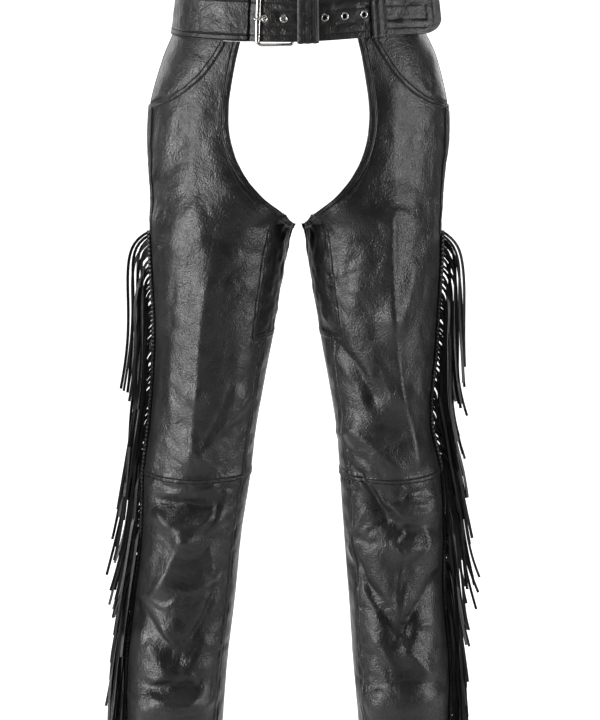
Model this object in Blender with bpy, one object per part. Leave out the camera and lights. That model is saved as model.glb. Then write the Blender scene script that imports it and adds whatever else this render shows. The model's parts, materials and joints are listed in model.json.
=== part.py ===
"""Leather chaps with a buckled belt and braided fringe, worn shape, hollow and open.

Sizes are millimetres here and metres in the scene. +X is the wearer's left, -Y the front and +Z up.
The origin is the middle of the waist opening at the belt's mid-height.
Suffix _l is the wearer's left leg and _r the right. On each leg an angle of 0 is the front,
90 the outseam, 180 the back and 270 (or -90) the inside of the leg.
"""
import math

import bpy

MM = 0.001

# driving sizes
BELT_HEIGHT = 58.0
WAISTBAND_WALL = 2.4
WALL = 1.6
HEM_WALL = 1.2
GAP = 0.3
HEM_WIDTH = 9.5
KNEE_Z = -614.0
HEM_Z = -1075.0
GUSSET_END_Z = -415.0
POCKET_END_Z = -118.0
POCKET_CLEARANCE = 1.5
FRINGE_TOP_Z = -292.0
SIDES = (("r", -1.0), ("l", 1.0))

# seam angles round a leg
GUSSET_FRONT = -43.0
GUSSET_BACK = -130.0
INSEAM = -62.0
OUTSEAM = 90.0
SIDE_STRIP_FRONT = 76.0
SIDE_STRIP_BACK = 98.0

# sections of each leg: distance of the outside and the inside from the middle of the body, and
# depth of the front and the back; a negative inside means that the ring is still part of the hips
SECTION_COLUMNS = ("z", "outer", "inner", "front", "back")
SECTIONS = {
    "r": (
        (-29, 164, -164, 116, 107),
        (-61, 178, -178, 117, 112),
        (-113, 194, -192, 118, 118),
        (-166, 198, -176, 116, 121),
        (-200, 197, -130, 114, 119),
        (-232, 195, -62, 112, 115),
        (-256, 195, -14, 110, 111),
        (-269, 196, 2, 109, 108),
        (-325, 194, 17, 106, 101),
        (-434, 191, 36, 96, 88),
        (-543, 199, 56, 82, 72),
        (-614, 208, 65, 76, 64),
        (-700, 212, 78, 66, 74),
        (-790, 223, 87, 64, 84),
        (-880, 234, 98, 66, 84),
        (-970, 237, 105, 70, 80),
        (-1075, 240, 112, 74, 80),
    ),
    "l": (
        (-29, 164, -164, 116, 107),
        (-61, 180, -180, 117, 112),
        (-113, 194, -192, 118, 118),
        (-166, 196, -176, 116, 121),
        (-200, 192, -130, 114, 119),
        (-232, 189, -62, 112, 115),
        (-256, 188, -14, 110, 111),
        (-269, 187, 2, 109, 108),
        (-325, 186, 12, 106, 101),
        (-434, 181, 30, 96, 88),
        (-543, 175, 49, 82, 72),
        (-614, 190, 55, 76, 64),
        (-700, 195, 61, 66, 74),
        (-790, 196, 68, 64, 84),
        (-880, 205, 74, 66, 84),
        (-970, 206, 82, 70, 80),
        (-1075, 209, 88, 74, 80),
    ),
}

# cut edges above the crotch: height and distance from the middle of the body
FRONT_EDGE = (
    (-29, 74), (-53, 80), (-79, 86), (-104, 90), (-129, 91), (-155, 88),
    (-181, 80), (-206, 65), (-226, 47), (-236, 35.5), (-246, 23), (-253, 16),
)
BACK_EDGE = (
    (-29, 96), (-60, 106), (-100, 113), (-140, 114), (-180, 109), (-215, 98),
    (-244, 80), (-256, 70), (-266, 59), (-276, 46), (-287, 28),
)
POCKET_EDGE = (
    (-29, 99), (-50, 112), (-70, 127), (-85, 143), (-98, 160), (-108, 177), (-112, 186), (-116, 193),
)

# the gusset's upper edge falls from its front seam to its back seam: angle and height
GUSSET_TOP = ((-130, -287), (-112, -283), (-90, -276), (-66, -266), (-43, -253))

# cells across the front and the back panel between the hem and the side strip, and across a gusset
FRONT_CELLS = 7
BACK_CELLS = 4
GUSSET_CELLS = 4
POCKET_CELLS = 4

# heights of the rows of points on the thigh and the shin
THIGH_ROWS = (
    -29.6, -52, -74, -90, -102, -112, -118, -144, -170, -194, -214, -230, -242, -253, -266, -276, -287, -318,
    -350, -382, -415, -448, -481, -514, -547, -580, -614,
)
SHIN_ROWS = (
    -614, -636, -660, -684, -708, -734, -760, -790, -820, -846, -874, -904, -936, -970,
    -1004, -1040, -1075,
)

# waist ellipse at the belt's mid-height, and how much wider it gets at its lower edge
WAIST_HALF_WIDTH = 160.5
WAIST_FRONT = 114.0
WAIST_BACK = 105.5
WAIST_FLARES = {"side": 7.0, "front": 4.0, "back": 3.0}

# the waist rises a little towards the hips: angle from the front middle and rise
WAIST_RISE = ((-180, 4), (-90, 3), (-30, 0), (0, 0.5), (20, 3), (43, 6.5), (90, 6), (180, 4))

# largest folds: a ridge or a valley along a line from (x0, z0) to (x1, z1) on one leg and side
FOLD_COLUMNS = ("leg", "side", "x0", "z0", "x1", "z1", "height", "reach")
FOLDS = (
    ("r", "front", 119, -349, 133, -494, 4.0, 15),
    ("r", "front", 133, -494, 142, -574, 4.0, 15),
    ("r", "front", 84, -494, 135, -574, 4.8, 16),
    ("r", "front", 182, -644, 118, -644, -6.4, 15),
    ("r", "front", 182, -662, 149, -690, 6.4, 15),
    ("r", "front", 149, -690, 114, -664, 6.4, 15),
    ("r", "front", 156, -700, 184, -759, 5.6, 15),
    ("r", "front", 220, -808, 167, -862, -6.4, 15),
    ("r", "front", 167, -862, 124, -815, -5.6, 15),
    ("r", "front", 206, -925, 138, -925, 7.2, 20),
    ("r", "front", 206, -905, 140, -900, -5.6, 15),
    ("r", "back", 184, -600, 96, -590, -8.0, 18),
    ("r", "back", 186, -660, 100, -672, -6.4, 18),
    ("r", "back", 200, -760, 120, -740, 6.4, 22),
    ("r", "back", 215, -870, 140, -905, -6.4, 18),
    ("r", "back", 150, -330, 120, -470, 4.8, 20),
    ("l", "front", 116, -257, 118, -384, 6.4, 15),
    ("l", "front", 118, -384, 131, -494, 5.6, 15),
    ("l", "front", 131, -494, 152, -578, 5.6, 15),
    ("l", "front", 148, -322, 124, -401, 4.8, 15),
    ("l", "front", 38, -414, 97, -494, -4.8, 16),
    ("l", "front", 74, -547, 126, -588, 7.2, 22),
    ("l", "front", 99, -635, 117, -660, -6.4, 15),
    ("l", "front", 117, -660, 141, -680, -6.4, 15),
    ("l", "front", 130, -655, 172, -655, 7.2, 16),
    ("l", "front", 136, -703, 172, -707, 7.2, 16),
    ("l", "front", 75, -739, 137, -829, -6.4, 15),
    ("l", "front", 184, -759, 137, -829, -6.4, 15),
    ("l", "front", 143, -843, 170, -878, 5.6, 15),
    ("l", "front", 104, -925, 178, -918, 7.2, 20),
    ("l", "back", 84, -600, 166, -592, -8.0, 18),
    ("l", "back", 88, -666, 170, -656, -6.4, 18),
    ("l", "back", 96, -745, 170, -768, 6.4, 22),
    ("l", "back", 104, -905, 180, -868, -6.4, 18),
    ("l", "back", 120, -340, 104, -470, 4.8, 20),
)

# belt strap: angle from the front middle and lift of its inner face from the waist
STRAP_WALL = 3.0
STRAP_PATH = (
    (-38.0, -3.3), (-31.0, -3.3), (-24.5, -3.3), (-22.6, -3.2), (-18.8, 0.4), (-15.2, 2.0), (-9.0, 3.6),
    (-2.8, 5.4), (6.0, 5.2), (14.0, 4.2), (24.0, 2.8), (34.0, 2.8), (44.0, 3.0), (52.0, 6.5),
    (60.0, 13.0), (68.0, 21.0), (74.0, 28.0),
)
STRAP_START_TOP = -37.5
STRAP_START_BOTTOM = -27.0
WAISTBAND_R_END = -23.4
WAISTBAND_L_END = 27.0
WAISTBAND_FRONT = 39.0
WAISTBAND_FRONT_CELLS = 4
WAISTBAND_CELLS = 10
STRAP_START = (-38.0, -31.0, -24.5, -22.8, -20.0)
STRAP_TIP = (52.0, 57.5, 63.0, 68.0, 71.5, 73.5)
STRAP_TIP_START = 63.0
STRAP_TIP_HEIGHT = 0.35
HOLE_PITCH = 25.4
FIRST_HOLE_X = -43.0
HOLE_COUNT = 7
HOLE_RADIUS = 3.5
EYELET_RADIUS = 5.0
EYELET_BORE = 2.4
EYELET_WALL = 0.4
EYELET_FLANGE = 0.6
EYELET_CLEARANCE = 0.3
HOLE_CELL = 6.5

# buckle
HINGE_X = -8.0
BAR_X = -50.0
BAR_LIFT = 7.0
BAR_RADIUS = 2.0
BAR_HALF_WIDTH = 3.2
BUCKLE_HALF_HEIGHT = 32.6
BUCKLE_CORNER = 6.0
PRONG_RADIUS = 1.4
# the prong's middle line past its wrap: distance from the middle of the body and lift
PRONG_PATH = (
    (-18, 2.1), (-30, 0.6), (-39, 0.0), (-42.0, 1.4), (-42.9, 3.6), (-43.7, 6.4),
    (-45.2, 9.0), (-47.8, 10.9), (-51.0, 11.0), (-54.8, 10.1),
)
BUCKLE_STRAP_WALL = 2.2
BUCKLE_STRAP_HALF_HEIGHT = 25.0
BUCKLE_STRAP_PATH = ((33.0, -2.5), (30.0, -2.5), (27.5, -2.5), (24.0, -2.3), (13.0, 0.4), (4.5, 1.9))
BUCKLE_STRAP_RETURN = (-1.0, 16.0)
PRONG_SLOT = 3.2

# belt loops: middle and half width along X, and lift of the inner and the outer layer's inside;
# the one with no inner layer is sewn to the waistband's upper and lower edge
LOOP_WALL = 1.8
LOOP_HALF_HEIGHT = 29.8
LOOP_RIM = 0.6
LOOP_COLUMNS = ("name", "x", "half_width", "inner_lift", "outer_lift")
LOOPS = (
    ("belt_loop_1", 11.0, 13.0, -5.6, 9.7),
    ("belt_loop_2", 99.5, 10.5, None, 7.4),
)

# braided fringe
LACE_PITCH = 13.0
RUNG_HEIGHT = 4.5
RUNG_SLANT = 7.0
RAIL_INNER = 5.6
RAIL_OUTER = 8.8
RAIL_WALL = 2.4
STRAND_LENGTH = 200.0
STRAND_WIDTH = 3.0
STRAND_WALL = 1.6
# a strand's middle line: drop from its root, distance out from the seam and share of its lane
STRAND_SHAPE = (
    (0, RAIL_OUTER, 0.0), (10, 15.0, 0.6), (45, 20.5, 1.0), (118, 27.5, 1.0), (215, 38.5, 1.0),
)
STRAND_LANES = (-5.4, -1.8, 5.4, 1.8)
STRAND_LENGTH_STEPS = (0, -9, 6, -4, 9, -12, 3)
STRAND_LOWEST_Z = -1072.0
STRAND_SMOOTHING = 22.0

LEATHER = ("black_leather", (0.028, 0.027, 0.029), 0.5, 0.0)
BELT_LEATHER = ("belt_leather", (0.03, 0.029, 0.031), 0.45, 0.0)
CHROME = ("chrome", (0.75, 0.74, 0.73), 0.18, 1.0)


def clear_scene():
    for item in list(bpy.data.objects):
        bpy.data.objects.remove(item, do_unlink=True)


def material(spec):
    name, colour, roughness, metallic = spec
    found = bpy.data.materials.get(name)
    if found:
        return found
    made = bpy.data.materials.new(name)
    made.use_nodes = True
    shader = made.node_tree.nodes["Principled BSDF"]
    shader.inputs["Base Color"].default_value = (*colour, 1.0)
    shader.inputs["Roughness"].default_value = roughness
    shader.inputs["Metallic"].default_value = metallic
    return made


def add_solid(name, points, faces, finish, smooth_angle=40.0):
    mesh = bpy.data.meshes.new(name)
    mesh.from_pydata([(x * MM, y * MM, z * MM) for x, y, z in points], [], faces)
    mesh.validate()
    mesh.shade_smooth()
    mesh.set_sharp_from_angle(angle=math.radians(smooth_angle))
    mesh.materials.append(material(finish))
    made = bpy.data.objects.new(name, mesh)
    bpy.context.scene.collection.objects.link(made)
    return made


def spline(rows, at, column=1):
    """Value of a table's column at a place in its first column, on a smooth curve."""
    keys = [row[0] for row in rows]
    values = [row[column] for row in rows]
    if keys[0] > keys[-1]:
        keys.reverse()
        values.reverse()
    if at <= keys[0]:
        return values[0]
    if at >= keys[-1]:
        return values[-1]
    i = max(n for n, key in enumerate(keys) if key <= at)
    i = min(i, len(keys) - 2)
    span = keys[i + 1] - keys[i]
    t = (at - keys[i]) / span
    before = max(i - 1, 0)
    after = min(i + 2, len(keys) - 1)
    slope_in = (values[i + 1] - values[before]) / (keys[i + 1] - keys[before]) * span
    slope_out = (values[after] - values[i]) / (keys[after] - keys[i]) * span
    t2, t3 = t * t, t * t * t
    return (values[i] * (2 * t3 - 3 * t2 + 1) + slope_in * (t3 - 2 * t2 + t)
            + values[i + 1] * (3 * t2 - 2 * t3) + slope_out * (t3 - t2))


def ease(low, high, value):
    t = min(max((value - low) / (high - low), 0.0), 1.0)
    return t * t * (3 - 2 * t)


class Leg:
    """One leg's outer surface, read by angle and height."""

    def __init__(self, name, sign):
        self.name = name
        self.sign = sign
        self.rows = SECTIONS[name]
        self.folds = [dict(zip(FOLD_COLUMNS, row)) for row in FOLDS if row[0] == name]

    def ring(self, z):
        outer, inner, front, back = (spline(self.rows, z, SECTION_COLUMNS.index(name))
                                     for name in ("outer", "inner", "front", "back"))
        middle_y = (back - front) / 2
        return (outer + inner) / 2, (outer - inner) / 2, middle_y, (front + back) / 2

    def angle_at(self, x, z):
        """Angle of the front point at a distance x from the middle of the body."""
        middle, half_width, _, _ = self.ring(z)
        return math.degrees(math.asin(min(max((x - middle) / half_width, -1.0), 1.0)))

    def turn_for(self, distance, angle, z):
        """Angle that a distance along the ring takes."""
        _, half_width, _, half_depth = self.ring(z)
        turn = math.radians(angle)
        pace = math.hypot(half_width * math.cos(turn), half_depth * math.sin(turn))
        return math.degrees(distance / pace)

    def fold_height(self, angle, z, x):
        side = "front" if math.cos(math.radians(angle)) >= 0 else "back"
        fade = ease(0.04, 0.3, abs(math.cos(math.radians(angle))))
        total = 0.0
        for fold in self.folds:
            if fold["side"] != side:
                continue
            along_x = fold["x1"] - fold["x0"]
            along_z = fold["z1"] - fold["z0"]
            t = ((x - fold["x0"]) * along_x + (z - fold["z0"]) * along_z) / (along_x**2 + along_z**2)
            t = min(max(t, 0.0), 1.0)
            gap = math.hypot(x - fold["x0"] - t * along_x, z - fold["z0"] - t * along_z)
            total += fold["height"] * math.exp(-(gap / fold["reach"]) ** 2)
        return total * fade

    def point(self, angle, z, lift=0.0):
        """Point of the leather's outer face, moved out by lift."""
        middle, half_width, middle_y, half_depth = self.ring(z)
        turn = math.radians(angle)
        x = middle + half_width * math.sin(turn)
        y = middle_y - half_depth * math.cos(turn)
        across, along = half_depth * math.sin(turn), -half_width * math.cos(turn)
        length = math.hypot(across, along)
        out = lift + self.fold_height(angle, z, x)
        rise = spline(WAIST_RISE, self.sign * angle if angle <= 180 else self.sign * (angle - 360))
        lifted_z = z + rise * ease(-100, -30, z)
        return (self.sign * (x + out * across / length), y + out * along / length, lifted_z)

    def outseam_point(self, z):
        """Point of the outseam on the straight facets between two rows of the panels."""
        rows = THIGH_ROWS + SHIN_ROWS[1:]
        above = min(row for row in rows if row >= z)
        below = max((row for row in rows if row < z), default=above - 1.0)
        share = (above - z) / (above - below)
        high, low = self.point(OUTSEAM, above), self.point(OUTSEAM, below)
        return tuple(a + (b - a) * share for a, b in zip(high, low))

    def front_columns(self, z):
        """Angles of the front panel's columns at one height, from the inseam to the outseam."""
        if z >= GUSSET_TOP[-1][1]:
            start = self.angle_at(spline(FRONT_EDGE, z), z)
        else:
            start = GUSSET_FRONT
        hem = self.angle_at(self.edge_x(start, z) + HEM_WIDTH, z)
        end = OUTSEAM
        if z > POCKET_END_Z:
            end = self.angle_at(spline(POCKET_EDGE, z), z)
        strip = end - (OUTSEAM - SIDE_STRIP_FRONT) * (end - hem) / (OUTSEAM - hem)
        inner = [hem + (strip - hem) * n / FRONT_CELLS for n in range(1, FRONT_CELLS)]
        main = [start, hem, *inner, strip, end]
        return [min(INSEAM, start - 2)] + main

    def edge_x(self, angle, z):
        middle, half_width, _, _ = self.ring(z)
        return middle + half_width * math.sin(math.radians(angle))

    def back_columns(self, z):
        """Angles of the back panel's columns, from the outseam round to the inseam."""
        if z > GUSSET_TOP[0][1]:
            end = 180.0 - self.angle_at(spline(BACK_EDGE, z), z)
        else:
            end = GUSSET_BACK + 360.0
        hem = end - self.turn_for(HEM_WIDTH, end, z)
        inner = [SIDE_STRIP_BACK + (hem - SIDE_STRIP_BACK) * n / BACK_CELLS for n in range(1, BACK_CELLS)]
        main = [OUTSEAM, SIDE_STRIP_BACK, *inner]
        inseam = INSEAM + 360.0
        tail = [end + (inseam - end) * n / 2 for n in (1, 2)]
        return main + [hem, end] + tail


def shell(name, outer, inner, present, finish):
    """Closed wall between two grids of points, over the cells that are present."""
    rows, columns = len(outer), len(outer[0])
    index = {}
    points = []

    def vertex(i, j, side):
        key = (i, j, side)
        if key not in index:
            index[key] = len(points)
            points.append((outer if side == 0 else inner)[i][j])
        return index[key]

    faces = []
    for i in range(rows - 1):
        for j in range(columns - 1):
            if not present(i, j):
                continue
            corners = ((i, j), (i, j + 1), (i + 1, j + 1), (i + 1, j))
            a, b, c, d = (outer[r][k] for r, k in corners)
            shorter = math.dist(a, c) <= math.dist(b, d) + 0.5
            for side in (0, 1):
                a, b, c, d = (vertex(r, k, side) for r, k in corners)
                found = [(a, b, c), (a, c, d)] if shorter else [(a, b, d), (b, c, d)]
                faces += [face[::-1] for face in found] if side else found
            sides = (
                (i - 1, j, corners[0], corners[1]), (i, j + 1, corners[1], corners[2]),
                (i + 1, j, corners[2], corners[3]), (i, j - 1, corners[3], corners[0]),
            )
            for near_i, near_j, start, end in sides:
                inside = 0 <= near_i < rows - 1 and 0 <= near_j < columns - 1
                if inside and present(near_i, near_j):
                    continue
                a, b = vertex(*start, 0), vertex(*end, 0)
                c, d = vertex(*end, 1), vertex(*start, 1)
                faces += [(a, d, c), (a, c, b)]
    if enclosed_volume(points, faces) < 0:
        faces = [face[::-1] for face in faces]
    return add_solid(name, points, faces, finish)


def enclosed_volume(points, faces):
    total = 0.0
    for a, b, c in faces:
        (ax, ay, az), (bx, by, bz), (cx, cy, cz) = points[a], points[b], points[c]
        total += ax * (by * cz - bz * cy) + ay * (bz * cx - bx * cz) + az * (bx * cy - by * cx)
    return total / 6


def narrowed(angles, leg, z, first, last):
    """Column angles with half the seam gap taken off at the first and the last of them."""
    result = list(angles)
    for place, sign in ((first, 1), (last, -1)):
        result[place] += sign * leg.turn_for(GAP / 2, result[place], z)
    return result


def panel(name, leg, rows, columns_at, present, lift=0.0, wall=WALL, finish=LEATHER):
    """A cut piece of leather over rows of heights and columns of angles."""
    outer, inner = [], []
    for z in rows:
        angles = columns_at(z)
        outer.append([leg.point(angle, z, lift) for angle in angles])
        inner.append([leg.point(angle, z, lift - wall) for angle in angles])
    return shell(name, outer, inner, present, finish)


def rows_between(rows, top, bottom):
    return [z for z in rows if bottom - 0.01 <= z <= top + 0.01]


def seam_rows(rows, top_gap=GAP / 2, bottom_gap=GAP / 2):
    """Row heights with half a seam gap taken off at each end."""
    return [rows[0] - top_gap, *rows[1:-1], rows[-1] + bottom_gap]


def front_thigh(leg):
    rows = seam_rows(list(THIGH_ROWS), 0.0)
    gusset_row = THIGH_ROWS.index(GUSSET_END_Z)

    def columns(z):
        angles = narrowed(leg.front_columns(z), leg, z, 0, -1)
        if GUSSET_END_Z <= z:
            angles = narrowed(angles, leg, z, 1, -1)
        return angles

    panel(f"front_thigh_{leg.name}", leg, rows, columns, lambda i, j: j > 0 or i >= gusset_row)


def back_thigh(leg):
    rows = seam_rows(list(THIGH_ROWS), 0.0)
    gusset_row = THIGH_ROWS.index(GUSSET_END_Z)

    def columns(z):
        angles = narrowed(leg.back_columns(z), leg, z, 0, -1)
        if GUSSET_END_Z <= z:
            angles = narrowed(angles, leg, z, 0, -3)
        return angles

    main_cells = len(leg.back_columns(KNEE_Z)) - 3
    panel(f"back_thigh_{leg.name}", leg, rows, columns,
          lambda i, j: j < main_cells or i >= gusset_row)


def shin_panels(leg):
    rows = seam_rows(list(SHIN_ROWS), GAP / 2, 0.0)
    panel(f"front_shin_{leg.name}", leg, rows,
          lambda z: narrowed(leg.front_columns(z), leg, z, 0, -1), lambda i, j: True)
    panel(f"back_shin_{leg.name}", leg, rows,
          lambda z: narrowed(leg.back_columns(z), leg, z, 0, -1), lambda i, j: True)


def pocket_facing(leg):
    """Hip piece between the pocket's curved opening, the waistband and the side seam."""
    rows = [z for z in THIGH_ROWS if z > POCKET_END_Z]

    def columns(z):
        start = leg.angle_at(spline(POCKET_EDGE, z) + POCKET_CLEARANCE, z)
        angles = [start + (OUTSEAM - start) * n / POCKET_CELLS for n in range(POCKET_CELLS + 1)]
        return narrowed(angles, leg, z, 0, -1)

    panel(f"pocket_facing_{leg.name}", leg, rows, columns, lambda i, j: True, lift=-0.8)


def hem_strips(leg):
    """Turned edges of the front and the back cutout, laid on the thigh panels."""
    lift = GAP + HEM_WALL
    front_rows = [THIGH_ROWS[0], *rows_between(THIGH_ROWS, -40, GUSSET_TOP[-1][1])]
    panel(f"front_hem_{leg.name}", leg, front_rows,
          lambda z: narrowed(leg.front_columns(z)[1:3], leg, z, 0, -1),
          lambda i, j: True, lift, HEM_WALL)
    back_rows = [THIGH_ROWS[0], *rows_between(THIGH_ROWS, -40, GUSSET_TOP[0][1])]
    panel(f"back_hem_{leg.name}", leg, back_rows,
          lambda z: narrowed(leg.back_columns(z)[-4:-2], leg, z, 0, -1),
          lambda i, j: True, lift, HEM_WALL)


def side_strip(leg):
    """Felled strip over the outseam, from the pocket down to the fringe."""
    rows = rows_between(THIGH_ROWS, POCKET_END_Z, -287)
    rows[0] -= 1.0

    def columns(z):
        return [leg.front_columns(z)[-2], OUTSEAM, leg.back_columns(z)[1]]

    panel(f"side_strip_{leg.name}", leg, rows, columns, lambda i, j: True, GAP + HEM_WALL, HEM_WALL)


def gusset(leg):
    """Inner thigh piece from the crotch down, between its front and back seams."""
    front_top = GUSSET_TOP[-1][1]
    shares = [(front_top - z) / (front_top - GUSSET_END_Z)
              for z in rows_between(THIGH_ROWS, front_top, GUSSET_END_Z)]
    outer, inner = [], []
    for share in shares:
        outer_row, inner_row = [], []
        for n in range(GUSSET_CELLS + 1):
            angle = GUSSET_FRONT + (GUSSET_BACK - GUSSET_FRONT) * n / GUSSET_CELLS
            top = spline(GUSSET_TOP, angle)
            z = top + (GUSSET_END_Z + GAP / 2 - top) * share
            if n == 0:
                angle -= leg.turn_for(GAP / 2, angle, z)
            elif n == GUSSET_CELLS:
                angle += leg.turn_for(GAP / 2, angle, z)
            outer_row.append(leg.point(angle, z))
            inner_row.append(leg.point(angle, z, -WALL))
        outer.append(outer_row)
        inner.append(inner_row)
    shell(f"gusset_{leg.name}", outer, inner, lambda i, j: True, LEATHER)


def waist_point(angle, height, lift=0.0):
    """Point on the waist at an angle from the front middle, positive to the wearer's left."""
    turn = math.radians(angle)
    flare = -height / BELT_HEIGHT
    half_width = WAIST_HALF_WIDTH + WAIST_FLARES["side"] * flare
    front = WAIST_FRONT + WAIST_FLARES["front"] * flare
    back = WAIST_BACK + WAIST_FLARES["back"] * flare
    middle_y, half_depth = (back - front) / 2, (front + back) / 2
    x = half_width * math.sin(turn)
    y = middle_y - half_depth * math.cos(turn)
    across, along = half_depth * math.sin(turn), -half_width * math.cos(turn)
    length = math.hypot(across, along)
    lifted_z = height + spline(WAIST_RISE, angle)
    return (x + lift * across / length, y + lift * along / length, lifted_z)


def waist_angle(x):
    return math.degrees(math.asin(x / WAIST_HALF_WIDTH))


def band(name, angles, heights):
    """Waistband wall round the waist."""
    outer = [[waist_point(angle, height, WAISTBAND_WALL) for angle in angles] for height in heights]
    inner = [[waist_point(angle, height) for angle in angles] for height in heights]
    return shell(name, outer, inner, lambda i, j: True, LEATHER)


def waistbands():
    half = BELT_HEIGHT / 2
    heights = (half, 0.0, -half)
    seam = math.degrees(GAP / 2 / WAIST_HALF_WIDTH)
    for name, sign, start in (("r", -1, -WAISTBAND_R_END), ("l", 1, WAISTBAND_L_END)):
        front = [start + (WAISTBAND_FRONT - start) * n / WAISTBAND_FRONT_CELLS
                 for n in range(WAISTBAND_FRONT_CELLS)]
        turn = 180.0 - seam - WAISTBAND_FRONT
        angles = front + [WAISTBAND_FRONT + turn * n / WAISTBAND_CELLS for n in range(WAISTBAND_CELLS + 1)]
        band(f"waistband_{name}", [sign * angle for angle in angles], heights)


def hole_angles():
    """Angles of the punched holes, one pitch apart along the strap."""
    angles = []
    angle = waist_angle(FIRST_HOLE_X)
    for _ in range(HOLE_COUNT):
        angles.append(angle)
        middle = angle
        for _ in range(3):
            here = waist_point(middle, 0.0, 4.0)
            there = waist_point(middle + 1.0, 0.0, 4.0)
            middle = angle + HOLE_PITCH / math.hypot(there[0] - here[0], there[1] - here[1]) / 2
        angle = 2 * middle - angle
    return angles


def strap_lift(angle):
    return spline(STRAP_PATH, angle)


def strap_patch_point(angle, height, layer):
    return waist_point(angle, height, strap_lift(angle) + layer)


def hole_cell_turn(angle):
    """Half the angle that the flat cell round a hole takes."""
    here, there = waist_point(angle - 0.5, 0.0, 4.0), waist_point(angle + 0.5, 0.0, 4.0)
    return HOLE_CELL / math.hypot(there[0] - here[0], there[1] - here[1])


def hole_cell_point(angle, side, up, layer):
    """Point on the flat cell round a hole, by its distances from the hole's middle."""
    turn = hole_cell_turn(angle)
    share_side, share_up = side / HOLE_CELL / 2 + 0.5, up / HOLE_CELL / 2 + 0.5
    corners = [[strap_patch_point(angle + a * turn, b * HOLE_CELL, layer) for a in (-1, 1)]
               for b in (-1, 1)]
    low, high = ([p + (q - p) * share_side for p, q in zip(*pair)] for pair in corners)
    return tuple(p + (q - p) * share_up for p, q in zip(low, high))


def belt_strap():
    """Strap with a slanted inner end, punched holes and a rounded free end."""
    holes = hole_angles()
    half = BELT_HEIGHT / 2
    cell_turn = [hole_cell_turn(angle) for angle in holes]
    columns = list(STRAP_START)
    for angle, turn in zip(holes, cell_turn):
        columns += [angle - turn, angle + turn]
    columns += STRAP_TIP
    columns.sort()
    points, faces = [], []
    index = {}

    def half_height(angle):
        if angle <= STRAP_TIP_START:
            return half
        t = (angle - STRAP_TIP_START) / (STRAP_TIP[-1] - STRAP_TIP_START)
        return half * (STRAP_TIP_HEIGHT + (1 - STRAP_TIP_HEIGHT) * math.sqrt(max(1 - t * t, 0.0)))

    def shifted(angle, row, column):
        if column > 1:
            return angle
        start = STRAP_START_TOP + (STRAP_START_BOTTOM - STRAP_START_TOP) * row / 3
        return start + (angle - columns[0]) * 0.25

    def vertex(column, row, layer):
        key = (column, row, layer)
        if key not in index:
            angle = columns[column]
            top = half_height(angle)
            height = (top, HOLE_CELL, -HOLE_CELL, -top)[row]
            index[key] = len(points)
            points.append(strap_patch_point(shifted(angle, row, column), height, layer))
        return index[key]

    def hole_vertex(number, step, layer):
        key = ("hole", number, step % 8, layer)
        if key not in index:
            turn = math.radians(135 - 45 * step)
            index[key] = len(points)
            points.append(hole_cell_point(holes[number], HOLE_RADIUS * math.cos(turn),
                                          HOLE_RADIUS * math.sin(turn), layer))
        return index[key]

    hole_columns = {columns.index(a - t): n for n, (a, t) in enumerate(zip(holes, cell_turn))}
    layers = (0.0, STRAP_WALL)
    last_column, last_row = len(columns) - 1, 3
    for column in range(last_column):
        for row in range(last_row):
            corners = ((column, row), (column + 1, row), (column + 1, row + 1), (column, row + 1))
            if row == 1 and column in hole_columns:
                number = hole_columns[column]
                for side in range(4):
                    for layer in layers:
                        a, b = vertex(*corners[side], layer), vertex(*corners[(side + 1) % 4], layer)
                        near = [hole_vertex(number, 2 * side + n, layer) for n in range(3)]
                        found = [(a, b, near[1]), (a, near[1], near[0]), (b, near[2], near[1])]
                        faces += found if layer else [face[::-1] for face in found]
                    for n in (0, 1):
                        a, b = (hole_vertex(number, 2 * side + n + k, layers[1]) for k in (0, 1))
                        d, c = (hole_vertex(number, 2 * side + n + k, layers[0]) for k in (0, 1))
                        faces += [(a, b, c), (a, c, d)]
            else:
                a, b, c, d = (vertex(*corner, layers[1]) for corner in corners)
                faces += [(a, b, c), (a, c, d)]
                a, b, c, d = (vertex(*corner, layers[0]) for corner in corners)
                faces += [(a, c, b), (a, d, c)]
            edges = ((row == 0, 0, 1), (column == last_column - 1, 1, 2),
                     (row == last_row - 1, 2, 3), (column == 0, 3, 0))
            for on_edge, start, end in edges:
                if on_edge:
                    a, b = vertex(*corners[start], layers[1]), vertex(*corners[end], layers[1])
                    d, c = vertex(*corners[start], layers[0]), vertex(*corners[end], layers[0])
                    faces += [(a, d, c), (a, c, b)]
    if enclosed_volume(points, faces) < 0:
        faces = [face[::-1] for face in faces]
    add_solid("belt_strap", points, faces, BELT_LEATHER)


def eyelets():
    """Rolled rings set in the holes, with a low flange on the strap's outer face."""
    sides = 12
    barrel = EYELET_BORE + EYELET_WALL
    seat = STRAP_WALL + EYELET_CLEARANCE
    top = seat + EYELET_FLANGE
    rings = (
        (barrel, EYELET_CLEARANCE), (barrel, seat), (EYELET_RADIUS, seat),
        (EYELET_RADIUS - EYELET_FLANGE, top), (barrel, top), (EYELET_BORE, EYELET_CLEARANCE),
    )
    for number, angle in enumerate(hole_angles(), start=1):
        points = []
        centre = hole_cell_point(angle, 0.0, 0.0, 0.0)
        ahead = hole_cell_point(angle, HOLE_CELL, 0.0, 0.0)
        above = hole_cell_point(angle, 0.0, HOLE_CELL, 0.0)
        along = unit(tuple(b - a for a, b in zip(centre, ahead)))
        out = unit(cross(along, tuple(b - a for a, b in zip(centre, above))))
        up_hole = cross(out, along)
        for radius, lift in rings:
            for n in range(sides):
                turn = 2 * math.pi * n / sides
                side, up = radius * math.cos(turn), radius * math.sin(turn)
                points.append(tuple(c + a * side + u * up + o * lift
                                    for c, a, u, o in zip(centre, along, up_hole, out)))
        faces = ring_faces(len(rings), sides)
        if enclosed_volume(points, faces) < 0:
            faces = [face[::-1] for face in faces]
        add_solid(f"eyelet_{number}", points, faces, CHROME)


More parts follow.
